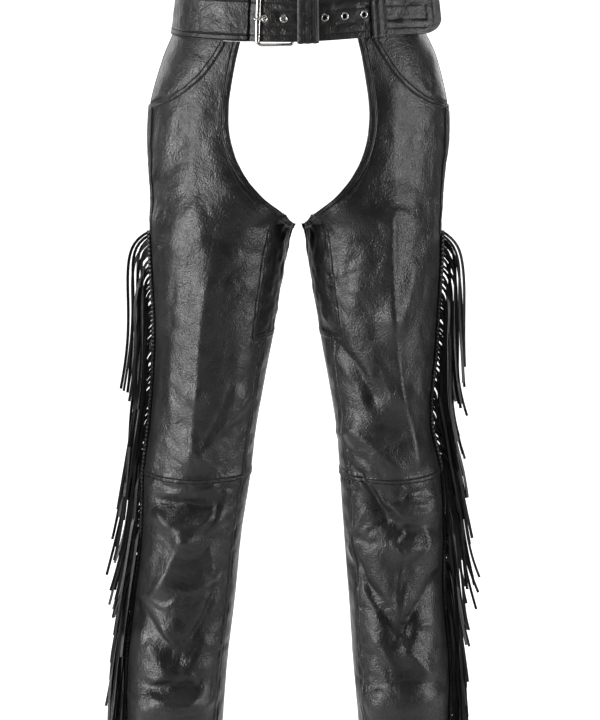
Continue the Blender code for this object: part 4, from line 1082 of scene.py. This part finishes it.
def strip(part, leg, angles, z, finishes):
    """Narrow folded strip laid on a panel, with its two lines of stitches pulled in."""
    across = np.linspace(0, 1, angles.shape[1])[None]
    edge = np.minimum(across, 1 - across)
    depth, place, reach = STRIP_GROOVE
    crown = STRIP_CROWN - depth * np.exp(-((edge - place) / reach) ** 2)
    crown = crown - STRIP_EDGE[0] * np.exp(-(edge / STRIP_EDGE[1]) ** 2)
    relief = leg.relief(angles, z)
    uneven = STRIP_PUCKERS * leg.puckers(leg.arc(angles, z), z)
    shell(f"{part}_{leg.name}_leather", leg.point(angles, z, GAP + HEM_WALL + crown + uneven, relief),
          leg.point(angles, z, GAP * 0.5, relief), finishes, relief=relief + crown)


def strip_stitches(leg, stitching, angles, z, side, distances):
    line = seam_path(leg, angles, z)
    for distance in distances:
        stitching.on_leg(leg, offset(line, side * distance), GAP + HEM_WALL + 0.1)


def hems(leg, stitching, finishes):
    share = np.linspace(0, 1, 21)[None]
    z = np.linspace(TOP_Z, GUSSET_TOP[-1][1], 120)[:, None]
    start = leg.front_start(z)
    middle, half_width, _, _ = leg.ring(z)
    end = leg.angle_at(middle + half_width * np.sin(np.radians(start)) + HEM_WIDTH, z)
    strip("front_hem", leg, start + (end - start) * share, z, finishes)
    strip_stitches(leg, stitching, start[:, 0], z[:, 0], 1, HEM_STITCHES)
    z = np.linspace(TOP_Z, GUSSET_TOP[0][1], 130)[:, None]
    end = leg.back_end(z)
    start = end - leg.turn_for(HEM_WIDTH, end, z)
    strip("back_hem", leg, start + (end - start) * share, z, finishes)
    strip_stitches(leg, stitching, end[:, 0], z[:, 0], -1, HEM_STITCHES)


def side_strip(leg, stitching, finishes):
    z = np.linspace(POCKET_END_Z - 1.0, SIDE_STRIP_END_Z, 80)[:, None]
    share = np.linspace(0, 1, 31)[None]
    angles = SIDE_STRIP_FRONT + (SIDE_STRIP_BACK - SIDE_STRIP_FRONT) * share + 0 * z
    strip("side_strip", leg, angles, z, finishes)
    line_z = np.linspace(POCKET_END_Z - 3.0, SIDE_STRIP_END_Z + 3.0, 60)
    for angle, side in ((SIDE_STRIP_FRONT, 1), (SIDE_STRIP_BACK, -1)):
        strip_stitches(leg, stitching, angle, line_z, side, SIDE_STRIP_STITCHES)


def gusset(leg, stitching, finishes):
    share = np.linspace(0, 1, 70)[:, None]
    angles = GUSSET_FRONT - 0.1 + (GUSSET_BACK - GUSSET_FRONT + 0.2) * np.linspace(0, 1, 56)[None]
    top = spline(GUSSET_TOP, angles)
    z = top + (GUSSET_END_Z + GAP / 2 - top) * share
    angles = angles + 0 * z
    s = leg.arc(angles, z)
    turn = np.linspace(GUSSET_FRONT, GUSSET_BACK, 30)
    seams = Seams(leg)
    seams.add(turn, spline(GUSSET_TOP, turn), 1, GUSSET_TOP_FOLD)
    lift, edge_share = seams.lie(s, z)
    relief = leg.relief(angles, z) - GUSSET_DEPTH + lift + GUSSET_PUCKERS * leg.puckers(s * 0.5, z * 0.5)
    leg_shell("gusset", leg, angles, z, relief, finishes, seam=edge_share)
    seams.stitch(stitching)


# belt

def waist_point(angle, height, lift=0.0):
    """Points on the waist at an angle from the front middle, positive to the wearer's left."""
    angle, height = np.broadcast_arrays(np.asarray(angle, float), np.asarray(height, float))
    flare = -height / BELT_HEIGHT
    half_width = WAIST_HALF_WIDTH + WAIST_FLARES["side"] * flare
    front = WAIST_FRONT + WAIST_FLARES["front"] * flare
    back = WAIST_BACK + WAIST_FLARES["back"] * flare
    x, y = on_ellipse(np.radians(angle), 0.0, half_width, (back - front) / 2, (front + back) / 2, lift)
    return np.stack([x, y, height + spline(WAIST_RISE, angle)], -1)


def waist_outward(angle):
    return unit(waist_point(angle, 0.0, 1.0) - waist_point(angle, 0.0, 0.0))


def waist_angle(x):
    return np.degrees(np.arcsin(x / WAIST_HALF_WIDTH))


def waistbands(stitching, finishes):
    half = BELT_HEIGHT / 2
    waves = Waves(40, 12, 10.0, 40.0)
    for name, sign in SIDES:
        start = abs(WAISTBAND_ENDS[name])
        angles = sign * (start + (180.0 - 0.05 - start) * np.linspace(0, 1, 150))[None]
        heights = (half - 2 * half * eased_shares(30, 0.1))[:, None]
        edge = half - np.abs(heights)
        # folded edges lie a little higher, and their corners are rounded
        lift = 0.4 * (1 - ease(WAISTBAND_FOLD, WAISTBAND_FOLD + 1.8, edge)) - 0.7 * np.exp(-(edge / 0.7) ** 2)
        lift = lift + BELT_UNEVEN * waves(angles * MM_PER_DEGREE, heights) * ease(4, 12, edge)
        shell(f"waistband_{name}_leather", waist_point(angles, heights, WAISTBAND_WALL + lift - 0.1),
              waist_point(angles, heights, 0.1), finishes, slot="belt_leather", relief=lift,
              seam=edge / WAISTBAND_FOLD)
        line = sign * np.linspace(start + 0.8, 179.0, 240)
        near, far = WAISTBAND_STITCHES
        for height in (half - near, half - far, far - half, near - half):
            stitching.on_belt(line, height, WAISTBAND_WALL + 0.25)
    share = np.linspace(0, 1, 20)
    for start in SEWN_STARTS:
        heights = SEWN_HALF_HEIGHT * (1 - 2 * share)
        stitching.on_belt(start + SEWN_SLANT * share, heights, WAISTBAND_WALL + 0.15)


def strap_half(angle):
    half = BELT_HEIGHT / 2
    t = np.clip((np.asarray(angle, float) - STRAP_TIP_START) / (STRAP_END - STRAP_TIP_START), 0.0, 1.0)
    return half * (0.25 + 0.75 * np.sqrt(np.maximum(1 - t**2.2, 0.0)))


def strap_lift(angle):
    return spline(STRAP_PATH, angle)


def hole_angles():
    """Angles of the punched holes, one pitch apart along the strap."""
    angles, angle = [], waist_angle(FIRST_HOLE_X)
    for _ in range(HOLE_COUNT):
        angles.append(angle)
        middle = angle
        for _ in range(3):
            here, there = waist_point([middle, middle + 1.0], 0.0, STRAP_MEAN_LIFT)
            middle = angle + HOLE_PITCH / math.hypot(*(there - here)[:2]) / 2
        angle = 2 * middle - angle
    return angles


def belt_strap(stitching, finishes):
    half = BELT_HEIGHT / 2
    holes = hole_angles()
    tip = STRAP_TIP_START + (STRAP_END - STRAP_TIP_START) * (1 - (1 - np.linspace(0.05, 1, 22)) ** 1.6)
    columns = [*np.linspace(STRAP_START, STRAP_TIP_START, 130), *tip]
    for angle in holes:
        # closer columns round each hole
        here, there = waist_point([angle, angle + 1.0], 0.0, STRAP_MEAN_LIFT)
        turn = 6.5 / math.hypot(*(there - here)[:2])
        columns = [c for c in columns if abs(c - angle) > turn]
        columns += list(angle + turn * np.linspace(-1, 1, 12))
    angles = np.array(sorted(columns))[None]
    upper = np.concatenate([np.linspace(1, 0.9, 6), np.linspace(0.87, 0.24, 16)])
    share = np.concatenate([upper, np.linspace(0.2, -0.2, 12), -upper[::-1]])[:, None]
    halves = strap_half(angles)
    heights = share * halves
    side_edge = (1 - np.abs(share)) * halves
    end_edge = np.maximum((STRAP_END - angles) * 2.0, 0.0)
    edge = np.minimum(side_edge, end_edge)
    shoulder = 1 - np.clip(edge / STRAP_ROUNDING, 0, 1)
    rounding = STRAP_ROUNDING * (1 - np.sqrt(np.maximum(1 - shoulder**2, 0.0)))
    waves = Waves(50, 12, 9.0, 34.0)
    lift = STRAP_UNEVEN * waves(angles * MM_PER_DEGREE, heights) * ease(6, 14, edge)
    roll = np.clip(0.7 + 0.9 * waves(angles * 1.1, heights * 0.3), 0.15, 1.3)
    for (depth, middle, reach), share_of_roll in ((STRAP_GROOVE, 1.0), (STRAP_ROLL, roll), (STRAP_DIP, roll)):
        lift = lift + depth * share_of_roll * np.exp(-((edge - middle) / reach) ** 2)
    depth, reach, limit = HOLE_DENT
    for angle in holes:
        place = waist_point(angle, 0.0, STRAP_MEAN_LIFT)
        gap = np.linalg.norm(waist_point(angles, heights, STRAP_MEAN_LIFT) - place, axis=-1)
        lift = np.where(gap < limit, lift - depth * np.exp(-(gap / reach) ** 2), lift)
    base = strap_lift(angles)
    outer = waist_point(angles, heights, base + STRAP_WALL + lift - rounding)
    inner = waist_point(angles, heights, base + rounding)
    present = np.ones((outer.shape[0] - 1, outer.shape[1] - 1), bool)
    for angle in holes:
        gap = np.linalg.norm(outer - waist_point(angle, 0.0, strap_lift(angle) + STRAP_WALL), axis=-1)
        corners = (gap[:-1, :-1], gap[1:, 1:], gap[:-1, 1:], gap[1:, :-1])
        present &= np.minimum.reduce(corners) > EYELET_BORE + 0.05
    # the inner end is cut on a slant
    slant = STRAP_START + 9.0 * (0.5 - heights / BELT_HEIGHT)
    late = angles < slant
    present &= ~(late[:-1, :-1] & late[1:, 1:])
    shell("belt_strap_leather", outer, inner, finishes, present, slot="belt_leather", relief=lift)
    across = half - STRAP_STITCHES
    line = np.linspace(-24.0, STRAP_TIP_START, 200)
    for sign in (1, -1):
        stitching.on_belt(line, sign * across, strap_lift(line) + STRAP_WALL - 0.25)
    turn = np.linspace(math.pi / 2, -math.pi / 2, 60)
    line = STRAP_TIP_START + (STRAP_END - 3.0 - STRAP_TIP_START) * np.cos(turn)
    stitching.on_belt(line, across * np.sin(turn), strap_lift(line) + STRAP_WALL - 0.2)


def lathe(name, centre, along, up, out, profile, finish, sides=32):
    """Ring turned from a closed profile of (radius, lift)."""
    turn = np.arange(sides)[:, None] * math.tau / sides
    around = np.cos(turn) * along + np.sin(turn) * up
    points = np.concatenate([centre + radius * around + lift * out for radius, lift in profile])
    new_object(name, points, ring_faces(len(profile), sides), [finish], "chrome")


def ring_faces(sections, sides, closed=True):
    index = np.arange(sections * sides).reshape(sections, sides)
    near = np.roll(index, -1, axis=1)
    after = np.roll(index, -1, axis=0)
    after_near = np.roll(near, -1, axis=0)
    faces = np.stack([index, near, after_near, after], -1)
    if not closed:
        faces = faces[:-1]
    return faces.reshape(-1, 4)


def eyelets(finish):
    rim = (EYELET_RADIUS - EYELET_BORE) / 2
    profile = [(EYELET_BORE, -2.2)]
    for degrees in range(180, -1, -20):
        turn = math.radians(degrees)
        profile.append((EYELET_BORE + rim + rim * math.cos(turn), 0.1 + 0.85 * math.sin(turn)))
    profile += [(EYELET_RADIUS - 0.3, -0.4), (EYELET_BORE + 0.4, -0.5), (EYELET_BORE + 0.4, -2.2)]
    for number, angle in enumerate(hole_angles(), start=1):
        near = angle + np.array([-1.0, 0.0, 1.0])
        before, centre, after = waist_point(near, 0.0, strap_lift(near) + STRAP_WALL)
        along = unit(after - before)
        up = np.array([0.0, 0.0, 1.0])
        up = unit(up - along * (up @ along))
        out = unit(np.cross(along, up))
        lathe(f"eyelet_{number}_ring", centre, along, up, out, profile, finish)


def sweep(points, sides, ups, half_widths, half_thicks, section, closed=False):
    """Vertices and faces of a bar along points: section is a list of (across, up) shares."""
    section = np.asarray(section, float)
    widths, thicks = (np.broadcast_to(v, len(points))[:, None, None] for v in (half_widths, half_thicks))
    made = points[:, None] + sides[:, None] * section[:, :1] * widths + ups[:, None] * section[:, 1:] * thicks
    faces = ring_faces(len(points), len(section), closed).tolist()
    if not closed:
        first = list(range(len(section)))
        faces += [first[::-1], [(len(points) - 1) * len(section) + k for k in first]]
    return made.reshape(-1, 3), faces


def facing_out(points, faces):
    total = 0.0
    for face in faces:
        a = points[face[0]]
        for k in range(1, len(face) - 1):
            total += a @ np.cross(points[face[k]], points[face[k + 1]])
    return faces if total > 0 else [face[::-1] for face in faces]


def round_section(sides):
    turn = (np.arange(sides) + 0.5) * math.tau / sides
    return list(zip(np.cos(turn), np.sin(turn)))


def bar(name, path, finish, closed):
    """Metal bar along (x, height, lift, half width, half thickness) near the waist."""
    path = np.asarray(path, float)
    angles = waist_angle(path[:, 0])
    centres = waist_point(angles, path[:, 1], path[:, 2])
    along = tangents(centres, closed)
    out = waist_outward(angles)
    across = unit(np.cross(along, out)) if closed else np.tile([0.0, 0.0, 1.0], (len(path), 1))
    out = unit(np.cross(across, along))
    points, faces = sweep(centres, across, out, path[:, 3], path[:, 4], round_section(16), closed)
    new_object(name, points, facing_out(points, faces), [finish], "chrome", smooth_angle=50)


def buckle(finish):
    middle_x, half_width = (HINGE_X + BAR_X) / 2, (HINGE_X - BAR_X) / 2
    corners = []
    for n, (side, up) in enumerate(((1, 1), (-1, 1), (-1, -1), (1, -1))):
        radius = BUCKLE_CORNER if side < 0 else HINGE_CORNER
        for step in range(9):
            turn = math.radians(90 * n + 11.25 * step)
            corners.append((middle_x + side * (half_width - radius) + radius * math.cos(turn),
                            up * (BUCKLE_HALF_HEIGHT - radius) + radius * math.sin(turn)))
    outline = []
    for here, after in zip(corners, corners[1:] + corners[:1]):
        steps = max(int(math.dist(here, after) / 4.0), 1)
        outline += [tuple(a + (b - a) * k / steps for a, b in zip(here, after)) for k in range(steps)]
    path = []
    for x, height in outline:
        share = (HINGE_X - x) / (HINGE_X - BAR_X)
        # the far bar is broad, and narrows into the frame's sides
        broad = float(ease(0.85, 1.0, share) * ease(BUCKLE_HALF_HEIGHT, BUCKLE_HALF_HEIGHT - 7, abs(height)))
        half = BAR_RADIUS + (BAR_HALF_WIDTH - BAR_RADIUS) * broad
        path.append((x, height, BAR_LIFT * share, half, BAR_RADIUS))
    bar("buckle_frame_bar", path, finish, True)
    wrap = BAR_RADIUS + GAP + PRONG_RADIUS
    prong = []
    for degrees in range(-100, 80, 15):
        turn = math.radians(degrees)
        prong.append((HINGE_X + wrap * math.cos(turn), wrap * math.sin(turn)))
    prong += list(PRONG_PATH)
    prong = np.array(prong)
    step = np.concatenate([[0.0], np.cumsum(np.hypot(*np.diff(prong, axis=0).T))])
    at = np.linspace(0, step[-1], 60)
    path = np.stack([np.interp(at, step, prong[:, k]) for k in range(2)], 1)
    for _ in range(2):
        path[1:-1] = (path[:-2] + 2 * path[1:-1] + path[2:]) / 4
    from_tip = ((at - (step[-1] - PRONG_TIP)) / PRONG_TIP).clip(0, 1)
    tip = np.sqrt(np.clip(1 - from_tip**2, 0.04, 1))
    rows = [(x, 0.0, lift, PRONG_RADIUS * t, PRONG_RADIUS * t) for (x, lift), t in zip(path, tip)]
    bar("buckle_prong_bar", rows, finish, False)


def buckle_strap(finishes):
    inner_side = BAR_RADIUS + GAP
    outer_side = inner_side + BUCKLE_STRAP_WALL
    angles = np.linspace(BUCKLE_STRAP_PATH[0][0], BUCKLE_STRAP_PATH[-1][0], 24)
    lifts = spline(BUCKLE_STRAP_PATH, angles)
    x = WAIST_HALF_WIDTH * np.sin(np.radians(angles))
    near = list(zip(x, lifts))
    far = list(zip(x, lifts + BUCKLE_STRAP_WALL))
    for degrees in range(90, -91, -15):
        turn = math.radians(degrees)
        near.append((HINGE_X - inner_side * math.cos(turn), inner_side * math.sin(turn)))
        far.append((HINGE_X - outer_side * math.cos(turn), outer_side * math.sin(turn)))
    for x in np.linspace(*BUCKLE_STRAP_RETURN, 6):
        near.append((x, -inner_side))
        far.append((x, -outer_side))
    upper = np.array(BUCKLE_STRAP_HEIGHTS)
    heights = np.concatenate([upper, -upper[::-1]])[:, None]
    grids = [waist_point(waist_angle(x), heights, lifts) for x, lifts in (np.array(far).T, np.array(near).T)]
    # slot for the prong where the strap folds round the hinge bar
    present = np.ones((len(heights) - 1, len(near) - 1), bool)
    present[len(upper) - 1, len(angles):len(angles) + 12] = False
    shell("buckle_strap_leather", *grids, finishes, present, slot="belt_leather")


def belt_loops(stitching, finishes):
    for row in LOOPS:
        loop = dict(zip(LOOP_COLUMNS, row))
        low, high, half = loop["inner_lift"], loop["outer_lift"], LOOP_HALF_HEIGHT
        bottom = WAISTBAND_WALL + GAP if low is None else low
        corner = LOOP_CORNER
        # rounded path of (lift, height) over the strap, from the lower inner end to the upper one
        turns = np.linspace(0, math.pi / 2, 7)[1:-1]
        path = [(bottom, -half), (high - corner, -half)]
        path += [(high - corner + corner * math.sin(t), -half + corner - corner * math.cos(t)) for t in turns]
        path += [(high, h) for h in np.linspace(-half + corner, half - corner, 26)]
        path += [(high - corner + corner * math.cos(t), half - corner + corner * math.sin(t)) for t in turns]
        path += [(high - corner, half), (bottom, half)]
        closed = low is not None
        if closed:
            path += [(bottom - 0.6, half - 0.6), (bottom - 0.6, -half + 0.6)]
        path = np.array(path)
        tangent = tangents(path, closed)
        normal = np.stack([tangent[:, 1], -tangent[:, 0]], 1)
        share = np.linspace(-1, 1, 34)
        ridges = LOOP_RIDGE * np.cos(share * math.pi * loop["ridges"]) - 0.9 * np.abs(share) ** 14
        front = (path[:, 0] > high - 0.6)[:, None]
        wall = LOOP_WALL + np.where(front, ridges, ridges * 0.6)
        far = path[:, None, :] + normal[:, None, :] * wall[..., None]
        angles = waist_angle(loop["x"] + loop["half_width"] * share)
        outer = waist_point(angles, far[..., 1], far[..., 0])
        inner = waist_point(angles, path[:, 1:], path[:, :1])
        make = band_around if closed else shell
        make(row[0] + "_leather", outer, inner, finishes, slot="belt_leather")
        lines = [-0.86, 0.86] + [2 * (k + 0.5) / loop["ridges"] - 1 for k in range(loop["ridges"])]
        for place in sorted(set(round(v, 3) for v in lines)):
            angle = waist_angle(loop["x"] + loop["half_width"] * place)
            lift = LOOP_RIDGE * math.cos(place * math.pi * loop["ridges"])
            stitching.on_belt(angle, np.linspace(-half + 1, half - 1, 40), high + LOOP_WALL + lift - 0.1)


def band_around(name, outer, inner, finishes, slot):
    """Loop of leather closed round its rows."""
    rows, columns = outer.shape[:2]
    points = np.concatenate([outer.reshape(-1, 3), inner.reshape(-1, 3)])
    index = np.arange(rows * columns).reshape(rows, columns)
    after = np.roll(index, -1, axis=0)
    shift = rows * columns
    top = np.stack([index[:, :-1], index[:, 1:], after[:, 1:], after[:, :-1]], -1).reshape(-1, 4)
    rims = [np.stack([index[:, 0], after[:, 0], after[:, 0] + shift, index[:, 0] + shift], -1),
            np.stack([after[:, -1], index[:, -1], index[:, -1] + shift, after[:, -1] + shift], -1)]
    new_object(name, points, np.concatenate([top, top[:, ::-1] + shift, *rims]), finishes, slot)


# fringe

def outseam_place(leg, z, out, depth):
    x, y = leg.outseam(z)
    return np.stack([leg.sign * (x + out), y + depth, np.asarray(z, float)], -1)


def lace_along(path, towards, half_width):
    """Flat lace along a path, its flat side turned towards a direction."""
    along = tangents(path)
    side = unit(np.cross(along, towards))
    return sweep(path, side, unit(np.cross(side, along)), half_width, LACE_HALF_THICKNESS, LACE_SECTION)


def fringe(leg, finish):
    """Braid of three flat laces beside the seam, the flat strip under it and the strands."""
    rng = np.random.default_rng(SEEDS[leg.name]["fringe"])
    parts = []
    z = np.arange(FRINGE_TOP_Z + BRAID_START, FRINGE_END_Z, -BRAID_STEP)
    for k in range(3):
        phase = math.tau * (k / 3 - z / BRAID_PITCH) + 0.5 * np.sin(z / 23.0)
        out = BRAID_OUT + BRAID_TURN * np.cos(phase) + 0.4 * np.sin(z / 19.0)
        path = outseam_place(leg, z, out, BRAID_TURN * np.sin(phase))
        parts.append(lace_along(path, path - outseam_place(leg, z, BRAID_OUT, 0.0), LACE_HALF_WIDTH))
    parts.append(lace_along(outseam_place(leg, z, BACKING_OUT, 0.0), (0.0, 1.0, 0.0), BACKING_HALF_WIDTH))
    root, number = FRINGE_TOP_Z + FIRST_ROOT, 0
    while root > FRINGE_END_Z:
        parts.append(strand(leg, root, number, rng))
        root -= STRAND_PITCH * (FIRST_SPACING if number < len(FIRST_STRANDS) else rng.uniform(*SPACING))
        number += 1
    points, faces, total = [], [], 0
    for made, made_faces in parts:
        points.append(made)
        faces += [[k + total for k in face] for face in facing_out(made, made_faces)]
        total += len(made)
    new_object(f"fringe_{leg.name}_laces", np.concatenate(points), faces, [finish], "black_leather",
               smooth_angle=30)


def strand(leg, root, number, rng):
    """Flat lace that leaves the braid outwards, hangs down and flares to its tip."""
    length = min(STRAND_LENGTH * rng.uniform(*STRAND_SHARE), root - STRAND_LOWEST_Z)
    drop = length * np.linspace(0, 1, STRAND_POINTS) ** 1.25
    near, far = (float(spline(HANG, root, HANG_COLUMNS.index(name))) for name in ("near", "far"))
    place = FIRST_STRANDS[number] if number < len(FIRST_STRANDS) else ((number * 0.618) % 1.0) ** 1.1
    hang = near + (far - near) * place
    reach = float(spline(REACH[leg.name], root - length))
    spread = 1.0 if place > 0.85 else rng.uniform(*SPREAD)
    tip = max(hang - 1.0, hang + (reach - hang) * (0.35 + 0.65 * place) * spread)
    start = BRAID_OUT + 1.4
    settle = 5.5 + 12.0 * place * rng.uniform(*SETTLE)
    out = start + (hang - start) * (1 - np.exp(-drop / settle))
    out = out + (tip - hang) * (drop / length) ** rng.uniform(*FLARE_CURVE)
    sway = rng.uniform(*SWAY) * np.sin(drop / rng.uniform(*SWAY_LENGTH) + rng.uniform(0, math.tau))
    out = out + sway * ease(20, 80, drop)
    lane = rng.uniform(*LANE)
    depth = lane * ease(0, 26, drop) + rng.uniform(*LEAN) * (drop / length) ** 1.6
    z = root - drop
    # lower down a strand follows the outseam's mean line, not its bends
    xs, ys = leg.outseam(np.clip(z[:, None] + np.linspace(-50.0, 50.0, 5), HEM_Z, None))
    here_x, here_y = leg.outseam(z)
    blend = ease(0, 60, drop)
    x = here_x + (np.maximum(xs.mean(axis=1), here_x - 2.0) - here_x) * blend
    y = here_y + (ys.mean(axis=1) - here_y) * blend
    path = np.stack([leg.sign * (x + out), y + depth, z], -1)
    along = tangents(path)
    turn = rng.uniform(*STRAND_TURN) + rng.uniform(*STRAND_TWIST) * drop / length
    wide = np.stack([np.cos(turn), np.sin(turn), 0 * turn], -1)
    wide = unit(wide - along * (wide * along).sum(axis=1, keepdims=True))
    thin = unit(np.cross(along, wide))
    return sweep(path, wide, thin, rng.uniform(*STRAND_HALF_WIDTH), STRAND_HALF_THICKNESS, STRAND_SECTION)


# stage

def area_light(name, azimuth, elevation, distance, width, height, power):
    """Softbox that faces the target from an azimuth, 0 in front and 90 at the wearer's left."""
    light = bpy.data.lights.new(name, "AREA")
    light.shape = "RECTANGLE"
    light.size = width
    light.size_y = height
    light.energy = power
    holder = placed(name, light)
    a, e = math.radians(azimuth), math.radians(elevation)
    back = Vector((math.sin(a) * math.cos(e), -math.cos(a) * math.cos(e), math.sin(e)))
    holder.location = Vector(LIGHT_TARGET) + back * distance
    holder.rotation_mode = "QUATERNION"
    holder.rotation_quaternion = (-back).to_track_quat("-Z", "Y")


def backdrop():
    """Floor that sweeps up behind the garment."""
    corners = [(-FLOOR_REACH, FLOOR_Z), (SWEEP_START, FLOOR_Z)]
    corners += [(SWEEP_START + SWEEP_RADIUS * math.sin(t), FLOOR_Z + SWEEP_RADIUS * (1 - math.cos(t)))
                for t in np.linspace(0, math.pi / 2, 24)[1:]]
    corners += [(SWEEP_START + SWEEP_RADIUS, SWEEP_TOP)]
    points = [(x, y, z) for y, z in corners for x in (-FLOOR_REACH, FLOOR_REACH)]
    faces = [(2 * n, 2 * n + 1, 2 * n + 3, 2 * n + 2) for n in range(len(corners) - 1)]
    mesh = bpy.data.meshes.new("backdrop")
    mesh.from_pydata(points, [], faces)
    mesh.shade_smooth()
    mesh.materials.append(paper())
    placed("backdrop", mesh)


def stage():
    backdrop()
    world = bpy.data.worlds.new("studio")
    bpy.context.scene.world = world
    world.use_nodes = True
    background = world.node_tree.nodes["Background"]
    background.inputs["Color"].default_value = ROOM_COLOUR
    background.inputs["Strength"].default_value = ROOM_GLOW
    for row in LIGHTS:
        area_light(*row)
    camera = bpy.data.cameras.new("camera")
    camera.lens = CAMERA_LENS
    camera.sensor_width = SENSOR_WIDTH
    holder = placed("camera", camera)
    holder.location = CAMERA_PLACE
    holder.rotation_euler = (math.radians(90 - CAMERA_TILT), 0.0, 0.0)
    bpy.context.scene.camera = holder
    bpy.context.scene.view_settings.view_transform = "Standard"


def cut_size(leg, starts, ends, top, bottom):
    """Width, length and area in metres of a leg panel laid flat, from its edges' angles at each height."""
    z = np.linspace(top, bottom, 200)
    first, last = leg.arc(starts(z), z), leg.arc(ends(z), z)
    _, _, _, half_depth = leg.ring(z)
    fall = np.hypot(np.gradient(z), np.gradient(half_depth))
    width = (last.max() - first.min()) * MM
    return width, fall.sum() * MM, float(((last - first) * fall).sum()) * MM * MM


def declare_sheets(legs):
    """Work out the width, length and area of each cloth piece's cut from the same sizes that shape it; the
    results are not used.
    """
    def at(angle):
        return lambda z: np.full(z.shape, angle)

    inseam = INSEAM + 360.0
    for leg in legs:
        cuts = (
            ("front_thigh", lambda z: np.where(z > GUSSET_END_Z, leg.front_start(z), INSEAM), leg.front_end,
             TOP_Z, KNEE_Z, ("front_hem",)),
            ("back_thigh", at(OUTSEAM), lambda z: np.where(z > GUSSET_END_Z, leg.back_end(z), inseam),
             TOP_Z, KNEE_Z, ("back_hem", "side_strip")),
            ("front_shin", at(INSEAM), at(OUTSEAM), KNEE_Z, HEM_Z, ()),
            ("back_shin", at(OUTSEAM), at(inseam), KNEE_Z, HEM_Z, ()),
            ("pocket_facing", lambda z: leg.angle_at(spline(POCKET_EDGE, z), z), at(OUTSEAM),
             TOP_Z, POCKET_END_Z, ()),
            ("gusset", at(GUSSET_BACK), at(GUSSET_FRONT), GUSSET_MEAN_TOP_Z, GUSSET_END_Z, ()),
        )
        for part, starts, ends, top, bottom, trims in cuts:
            width, length, area = cut_size(leg, starts, ends, top, bottom)
            area = min(max(area, LEAST_SHARE * width * length), width * length)


def main():
    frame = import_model()
    black, shaded_gusset, strap, lace = (leather(name, *row) for name, row in LEATHERS.items())
    inside = suede("leather_flesh_side", *FLESH_SIDE)
    nickel = metal("nickel", *NICKEL)
    sewing = thread("black_thread", *THREAD)

    legs = [Leg(name, sign) for name, sign in SIDES]
    for leg in legs:
        stitching = Stitching()
        front_thigh(leg, stitching, [black, inside])
        back_thigh(leg, stitching, [black, inside])
        shins(leg, stitching, [black, inside])
        pocket_facing(leg, [black, inside])
        hems(leg, stitching, [black])
        side_strip(leg, stitching, [black])
        gusset(leg, stitching, [shaded_gusset, inside])
        stitching.build(f"stitching_{leg.name}", sewing, "black_leather")
        fringe(leg, lace)
    stitching = Stitching()
    waistbands(stitching, [strap, inside])
    belt_strap(stitching, [strap, inside])
    belt_loops(stitching, [strap])
    stitching.build("stitching_belt", sewing, "belt_leather")
    buckle_strap([strap])
    buckle(nickel)
    eyelets(nickel)

    shown = {o.name: o for o in bpy.context.scene.objects if o.type == "MESH" and "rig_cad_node" not in o}
    endings = ("_leather", "_laces", "_ring", "_bar")
    for piece_name, piece in shown.items():
        for ending in endings:
            cad = piece_name[: -len(ending)]
            if piece_name.endswith(ending) and cad in frame["nodes"]:
                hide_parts(cad)
    declare_sheets(legs)
    stage()
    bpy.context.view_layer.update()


main()
